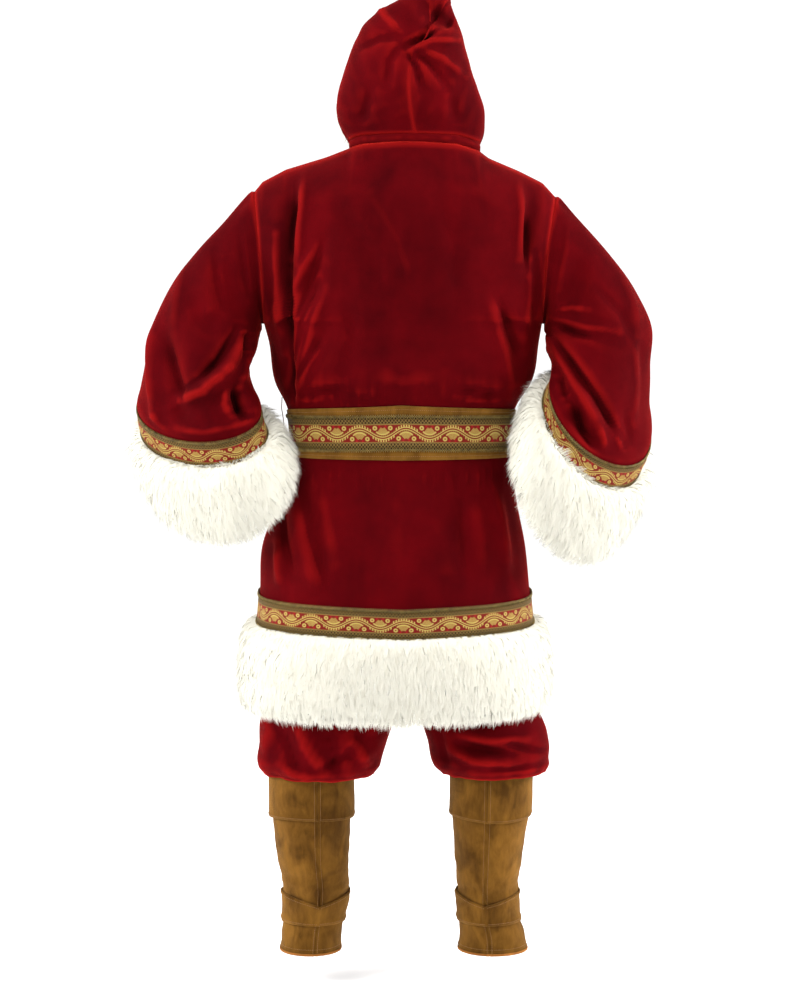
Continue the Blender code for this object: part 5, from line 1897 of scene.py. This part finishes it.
@dataclass
class Trousers:
    """Velvet trousers bloused over the boot covers, with their waistband."""

    wardrobe: Wardrobe
    coat: Coat
    crotch: tuple[float, float] = (800.0, 860.0)
    top: float = 1000.0
    waistband_top: float = 1038.0
    gap: float = 0.24
    rows: int = 84
    columns: int = 72

    def grid(self, side: Side) -> Array:
        """One leg with its half of the seat.

        Args:
            side: Which leg.

        Returns:
            Its grid, hem to waist.
        """
        legs, folds = {Side.LEFT: (LEFT_LEG, LEFT_LEG_FOLDS), Side.RIGHT: (RIGHT_LEG, RIGHT_LEG_FOLDS)}[side]
        sign = side.value
        heights = np.concatenate([np.linspace(408.0, 560.0, self.rows // 2),
                                  np.linspace(560.0, self.top, self.rows // 2 + 1)[1:]])
        turn, height = np.linspace(0, 1, self.columns)[None], heights[:, None]
        angle = turn * 2 * math.pi
        seat = ease((height - self.crotch[0]) / (self.crotch[1] - self.crotch[0]))
        h = np.minimum(height, self.crotch[0])
        middle, half = curve(legs, 1, h), curve(legs, 2, h)
        depth = np.where(turn < 0.5, curve(legs, 3, h), curve(legs, 4, h))
        leg_x, leg_y = middle - sign * half * np.cos(angle), depth * np.sin(angle)
        above = np.maximum(height, self.crotch[1])
        wide, deep = self.coat.share_of(turn * 2 - 1)
        size = curve(SEAT, 1, above)
        depth = np.where(turn < 0.5, curve(SEAT, 2, above), curve(SEAT, 3, above))
        seat_x, seat_y = sign * size * deep, -np.sign(turn - 0.5) * depth * np.abs(wide)
        x, y = leg_x + (seat_x - leg_x) * seat, leg_y + (seat_y - leg_y) * seat
        grid = np.stack([x, y, np.broadcast_to(height, x.shape)], axis=-1)
        normals = grid_normals(grid, False)
        free = ease(turn / 0.06) * ease((1 - turn) / 0.06) * ease((700.0 - height) / 120.0)
        push = fold_push(x, height, folds) * ease(np.abs(normals[..., 1]) / 0.5)
        gathers = ripple(angle * 40, height * 0.35, 131 + sign, 30.0) * 3.4 * np.exp(-((height - 404.0) / 30.0) ** 2)
        push = push + gathers + 2.2 * ripple(angle * 60, height, 133 + sign, 110.0)
        # The gathered hem turns in under the blousing.
        grid += normals * (push * free)[..., None]
        tuck = ease((424.0 - height) / 18.0)
        grid[..., :2] += (np.array([sign * 165.0, 0.0]) - grid[..., :2]) * (0.07 * tuck)[..., None]
        hem = 5.0 * np.sin(angle + 0.6 * sign) * np.exp(-((height - 404.0) / 40.0) ** 2)
        grid[..., 2] += hem * (side is Side.RIGHT)
        low = heights < self.crotch[0] + 5
        grid[low, 0, 1] += self.gap
        grid[low, -1, 1] -= self.gap
        for edge in (0, -1):
            grid[~low, edge, 0] = sign * self.gap
        return grid

    def build(self) -> None:
        """Build both legs and the waistband."""
        tops = []
        for side in Side:
            grid = self.grid(side)
            piece = own(sheet_mesh(f"trouser_{side.word}_velvet", grid, self.wardrobe.velvet, wall=WALL), "velvet",
                        f"trouser_{side.word}")
            cloth(piece, (760, 620), area=760 * 620 * 0.92)
            tops.append(grid[-1])
        ring = np.concatenate([tops[0], tops[1][::-1]])
        count = len(tops[0])
        ring[[0, count - 1], 0], ring[[count, -1], 0] = 1.0, -1.0
        share = np.linspace(0, 1, 7)[:, None]
        grid = np.broadcast_to(ring, (7, *ring.shape)).copy()
        grid[..., 2] = self.top + 0.3 + share * (self.waistband_top - self.top - 0.3)
        grid += grid_normals(grid, True) * (0.5 * ripple(grid[..., 0] * 4, grid[..., 1] * 4, 141, 120.0))[..., None]
        piece = own(sheet_mesh("waistband_velvet", grid, self.wardrobe.velvet, wrap=True, wall=SUEDE_WALL), "velvet",
                    "waistband")
        cloth(piece, (900, 38))


@dataclass
class BootCover:
    """A suede boot cover: tube with a bound hem, turned-down cuff and ankle strap."""

    wardrobe: Wardrobe
    side: Side
    sections: Table
    seam_at: float             # radians the centre back seam lies off straight back
    rows: int = 66
    columns: int = 90
    crowding: float = 0.68      # how much closer the columns stand at the back seam
    cuff_rows: tuple[float, float] = (328.0, 430.0)
    strap_rows: tuple[float, float] = (122.0, 160.0)
    strap_rise: float = 20.0
    cuff_off: float = 0.9
    strap_off: float = 1.1

    def ring(self, heights: Array, angles: Array) -> Array:
        """Points of the cover's tube without wrinkles.

        Args:
            heights: Heights above the floor.
            angles: Angles from straight back.

        Returns:
            The points.
        """
        heights, angles = np.broadcast_arrays(heights, angles)
        middle, half = curve(self.sections, 1, heights), curve(self.sections, 2, heights)
        depth = np.where(np.cos(angles) > 0, curve(self.sections, 3, heights), curve(self.sections, 4, heights))
        return np.stack([middle + half * np.sin(angles), depth * np.cos(angles), heights], axis=-1)

    def off_seam(self, angles: Array) -> Array:
        """Distance round the cover from the centre back seam, in millimetres."""
        return (np.mod(angles - self.seam_at + math.pi, 2 * math.pi) - math.pi) * 68.0

    def felled(self, angles: Array) -> Array:
        """Rise of the felled seam: two soft ridges with a groove between."""
        off = self.off_seam(angles)
        return 1.3 * np.exp(-((np.abs(off) - 4.2) / 2.6) ** 2) - 1.7 * np.exp(-(off / 1.5) ** 2)

    def slump(self, angles: Array, heights: Array) -> Array:
        """Soft wrinkles of the tube, strongest where it slouches above the ankle.

        Args:
            angles: Angles of the columns.
            heights: A height for each point.

        Returns:
            Distance outward at each point.
        """
        seed, ankle = 151 + self.side.value, 185.0
        slack = ripple(angles[None] * 70, heights * 1.3, seed, 95.0) * 1.5
        slouch = ripple(angles[None] * 26, heights * 2.4, seed + 5, 80.0) * 1.8
        return slack + slouch * np.exp(-((heights - ankle) / 40.0) ** 2)

    def shaft(self, heights: Array, angles: Array, wrinkles: float = 1.0) -> tuple[Array, Array]:
        """The tube with its seam and wrinkles.

        Args:
            heights: Heights of the rows.
            angles: Angles of the columns.
            wrinkles: How strong the wrinkles are.

        Returns:
            Points and normals.
        """
        grid = self.ring(heights[:, None], angles[None])
        normals = grid_normals(grid, True)
        h = grid[..., 2]
        free = ease((h - 64.0) / 24.0)
        push = self.slump(angles, h) * wrinkles * free + self.felled(angles[None])
        return grid + normals * push[..., None], normals

    def seam_stitches(self, grid: Array, normals: Array, angles: Array, wall: float) -> tuple[list, list]:
        """The two stitch lines beside the centre back seam.

        Args:
            grid: The cloth's points.
            normals: Their normals.
            angles: Angles of the columns.
            wall: How far out the stitches lie.

        Returns:
            The lines and their directions away from the cloth.
        """
        rows, away = [], []
        for gap in (-4.2, 4.2):
            column = int(np.argmin(np.abs(self.off_seam(angles) - gap)))
            rows.append(grid[:, column] + normals[:, column] * wall)
            away.append(normals[:, column])
        return rows, away

    def build(self) -> None:
        """Build the cover."""
        word = self.side.word
        even = np.linspace(0, 2 * math.pi, self.columns, endpoint=False)
        angles = even - self.crowding * np.sin(even) + self.seam_at
        fine = np.unwrap(angles)
        heights = np.linspace(64.0, 440.0, self.rows)
        grid, normals = self.shaft(heights, fine)
        low = 2.2 * np.exp(-((heights - 64.0) / 6.0) ** 2)[:, None] * 0.25
        grid += normals * low[..., None]
        piece = own(sheet_mesh(f"boot_{word}_suede", grid, self.wardrobe.boot, wrap=True, wall=SUEDE_WALL), "suede",
                    f"boot_{word}")
        rows, away = self.seam_stitches(grid, normals, angles, 0.0)
        for row in (2, -3):
            rows.append(np.concatenate([grid[row], grid[row][:1]]))
            away.append(np.concatenate([normals[row], normals[row][:1]]))
        binding = np.stack([grid[0] - normals[0] * 0.2 + np.array([0, 0, z]) for z in (4.2, 2.8, 1.4, 0.0)])
        bulge = np.array([0.2, 0.9, 1.1, 0.5])[:, None, None]
        binding = binding + normals[0][None] * bulge
        bound = own(sheet_mesh(f"boot_{word}_binding", binding, self.wardrobe.bound, wrap=True, wall=0.8,
                               outward=True), "suede")
        sewn = [own(stitch_mesh(f"boot_{word}_stitching", rows, away, self.wardrobe.stitch), "suede")]
        cloth(piece, (470, 385))
        self.build_cuff(fine, angles)
        self.build_strap(fine, angles)

    def build_cuff(self, fine: Array, angles: Array) -> None:
        """Build the turned-down cuff.

        Args:
            fine: Angles of its columns, rising.
            angles: The same angles, for finding the seam.
        """
        word = self.side.word
        heights = np.linspace(*self.cuff_rows, 26)
        base, normals = self.shaft(heights, fine, 0.0)
        share = ((heights - heights[0]) / (heights[-1] - heights[0]))[:, None]
        flare = 3.4 * (1 - share) ** 1.5 + 0.9 * ripple(angles[None] * 70, heights[:, None], 171, 120.0) * (1 - share)
        rim = 0.7 * np.exp(-((heights - heights[0] - 4.0) / 2.5) ** 2)[:, None]
        grid = base + normals * (self.cuff_off + np.maximum(flare, 0.0) + rim)[..., None]
        dip = 2.5 * np.sin(angles * 2 + self.side.value)[None] * (1 - share)
        grid[..., 2] += dip
        piece = own(sheet_mesh(f"boot_cuff_{word}_suede", grid, self.wardrobe.boot, wrap=True, wall=SUEDE_WALL,
                               outward=True), "suede", f"boot_cuff_{word}")
        rows, away = self.seam_stitches(grid, normals, angles, SUEDE_WALL)
        for row in (1, -2):
            rows.append(grid[row] + normals[row] * SUEDE_WALL)
            away.append(normals[row])
        sewn = own(stitch_mesh(f"boot_cuff_{word}_stitching", rows, away, self.wardrobe.stitch), "suede")
        cloth(piece, (505, 103))

    def build_strap(self, fine: Array, angles: Array) -> None:
        """Build the ankle strap, which rises from the back seam to the sides.

        Args:
            fine: Angles of its columns, rising.
            angles: The same angles, for finding the seam.
        """
        word = self.side.word
        share = np.linspace(0, 1, 12)[:, None]
        level = np.abs(np.sin(angles - self.seam_at))[None]
        low, high = self.strap_rows
        heights = low + share * (high - low) + self.strap_rise * level * share
        point = self.ring(heights, fine[None])
        out = unit(np.stack([np.sin(fine) / 62.0, np.cos(fine) / 66.0, np.zeros_like(fine)], axis=-1))
        rim = 0.8 * np.exp(-((np.minimum(share, 1 - share) - 0.08) / 0.05) ** 2)
        lap = 1.6 * ease((6.0 - np.abs(self.off_seam(angles)[None] - 1.0)) / 4.0)
        push = np.maximum(self.slump(fine, point[..., 2]), -0.2) + self.strap_off + 0.7 + rim + lap
        grid = point + out[None] * push[..., None]
        piece = own(sheet_mesh(f"boot_strap_{word}_suede", grid, self.wardrobe.boot, wrap=True, wall=SUEDE_WALL,
                               outward=True), "suede", f"boot_strap_{word}")
        rows = [grid[row] + out * SUEDE_WALL for row in (1, -2)]
        sewn = own(stitch_mesh(f"boot_strap_{word}_stitching", rows, [out, out], self.wardrobe.stitch), "suede")
        cloth(piece, (430, 48))


@dataclass
class Studio:
    """Plain pale floor, soft light and the camera behind the suit."""

    distance: float = 4.5
    eye: float = 1300.0        # the camera's height above the floor
    across: float = 4.75
    tilt: float = 4.7          # degrees down
    lens: float = 85.45
    dim: float = 0.24          # the world's light on the camera's side

    def build(self) -> None:
        """Build the floor, the lights and the camera."""
        self.build_floor()
        self.build_lights()
        self.build_camera()

    def build_floor(self) -> None:
        """Build the floor."""
        mesh = bpy.data.meshes.new("floor")
        reach, level = 14.0, -NECK_HEIGHT * MM
        mesh.from_pydata([(-reach, -reach, level), (reach, -reach, level), (reach, reach, level),
                          (-reach, reach, level)], [], [(0, 1, 2, 3)])
        floor = bpy.data.objects.new("floor", mesh)
        bpy.context.scene.collection.objects.link(floor)
        bench = Bench("pale_floor")
        tone = bench.noise(bench.place(), 2.0, 2.0)
        mesh.materials.append(bench.finish(bench.blend(tone, (0.88, 0.88, 0.88), (0.92, 0.92, 0.92)), tone, 0.01,
                                           Roughness=0.9, Specular_IOR_Level=0.1, Emission_Strength=0.42,
                                           Emission_Color=(1.0, 1.0, 1.0, 1.0)))
        floor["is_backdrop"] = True

    def build_lights(self) -> None:
        """Build the world light and the soft boxes."""
        world = bpy.data.worlds.new("studio")
        world.use_nodes = True
        nodes, links = world.node_tree.nodes, world.node_tree.links
        split, ramp = nodes.new("ShaderNodeSeparateXYZ"), nodes.new("ShaderNodeMapRange")
        ramp.interpolation_type = "SMOOTHSTEP"
        for socket, value in (("From Min", 0.35), ("From Max", -0.55), ("To Min", self.dim), ("To Max", 1.15)):
            ramp.inputs[socket].default_value = value
        links.new(nodes.new("ShaderNodeTexCoord").outputs["Generated"], split.inputs[0])
        links.new(split.outputs[1], ramp.inputs[0])
        links.new(ramp.outputs[0], nodes["Background"].inputs[1])
        nodes["Background"].inputs[0].default_value = (1.0, 1.0, 1.0, 1.0)
        bpy.context.scene.world = world
        bpy.context.scene.view_settings.view_transform = "Standard"
        boxes = (
            ("key", (3.3, 3.0, 1.7), 1.2, 136.0),
            ("fill", (-3.0, 3.4, 0.9), 1.5, 48.0),
            ("left_rim", (3.2, 0.2, 0.6), 1.2, 105.0),
            ("right_rim", (-3.2, 0.2, 0.6), 1.2, 150.0),
            ("overhead", (0.0, 1.0, 2.4), 1.6, 62.0),
        )
        for name, place, size, power in boxes:
            lamp = bpy.data.lights.new(name, "AREA")
            lamp.shape, lamp.size, lamp.energy = "SQUARE", size, power
            made = bpy.data.objects.new(name, lamp)
            made.location = place
            aim = np.array([0.0, 0.0, -0.6]) - np.array(place)
            flat = math.hypot(aim[0], aim[1])
            made.rotation_euler = (math.pi / 2 - math.atan2(-aim[2], flat), 0.0, math.atan2(-aim[0], aim[1]))
            bpy.context.scene.collection.objects.link(made)

    def build_camera(self) -> None:
        """Build the camera."""
        camera = bpy.data.cameras.new("camera")
        camera.sensor_fit = "VERTICAL"
        camera.sensor_height = 36.0
        camera.lens = self.lens
        made = bpy.data.objects.new("camera", camera)
        made.location = (self.across * MM, self.distance, (self.eye - NECK_HEIGHT) * MM)
        made.rotation_euler = (math.radians(90.0 - self.tilt), 0.0, math.pi)
        bpy.context.scene.collection.objects.link(made)
        bpy.context.scene.camera = made


def corners(box: tuple) -> list[list[float]]:
    """A box's two corners as plain numbers."""
    return [[round(float(value), 5) for value in corner] for corner in box]


def main() -> None:
    """Build the suit piece by piece and set it in the studio."""
    logging.basicConfig(level=logging.INFO, format="%(message)s")
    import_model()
    wardrobe = Wardrobe()
    coat = Coat(wardrobe)
    builds = (
        ("coat", coat),
        ("left sleeve", Sleeve(coat, Side.LEFT, LEFT_RINGS, LEFT_SLEEVE_FOLDS)),
        ("right sleeve", Sleeve(coat, Side.RIGHT, RIGHT_RINGS, RIGHT_SLEEVE_FOLDS)),
        ("hood", Hood(coat)),
        ("trousers", Trousers(wardrobe, coat)),
        ("left boot cover", BootCover(wardrobe, Side.LEFT, LEFT_BOOT, -0.17)),
        ("right boot cover", BootCover(wardrobe, Side.RIGHT, RIGHT_BOOT, 0.12)),
        ("studio", Studio()),
    )
    for name, made in builds:
        made.build()
        LOG.info("%s built", name)
    faces = sum(len(piece.data.polygons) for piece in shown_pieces() if piece.type == "MESH")
    LOG.info("%d faces", faces)


if __name__ == "__main__":
    main()
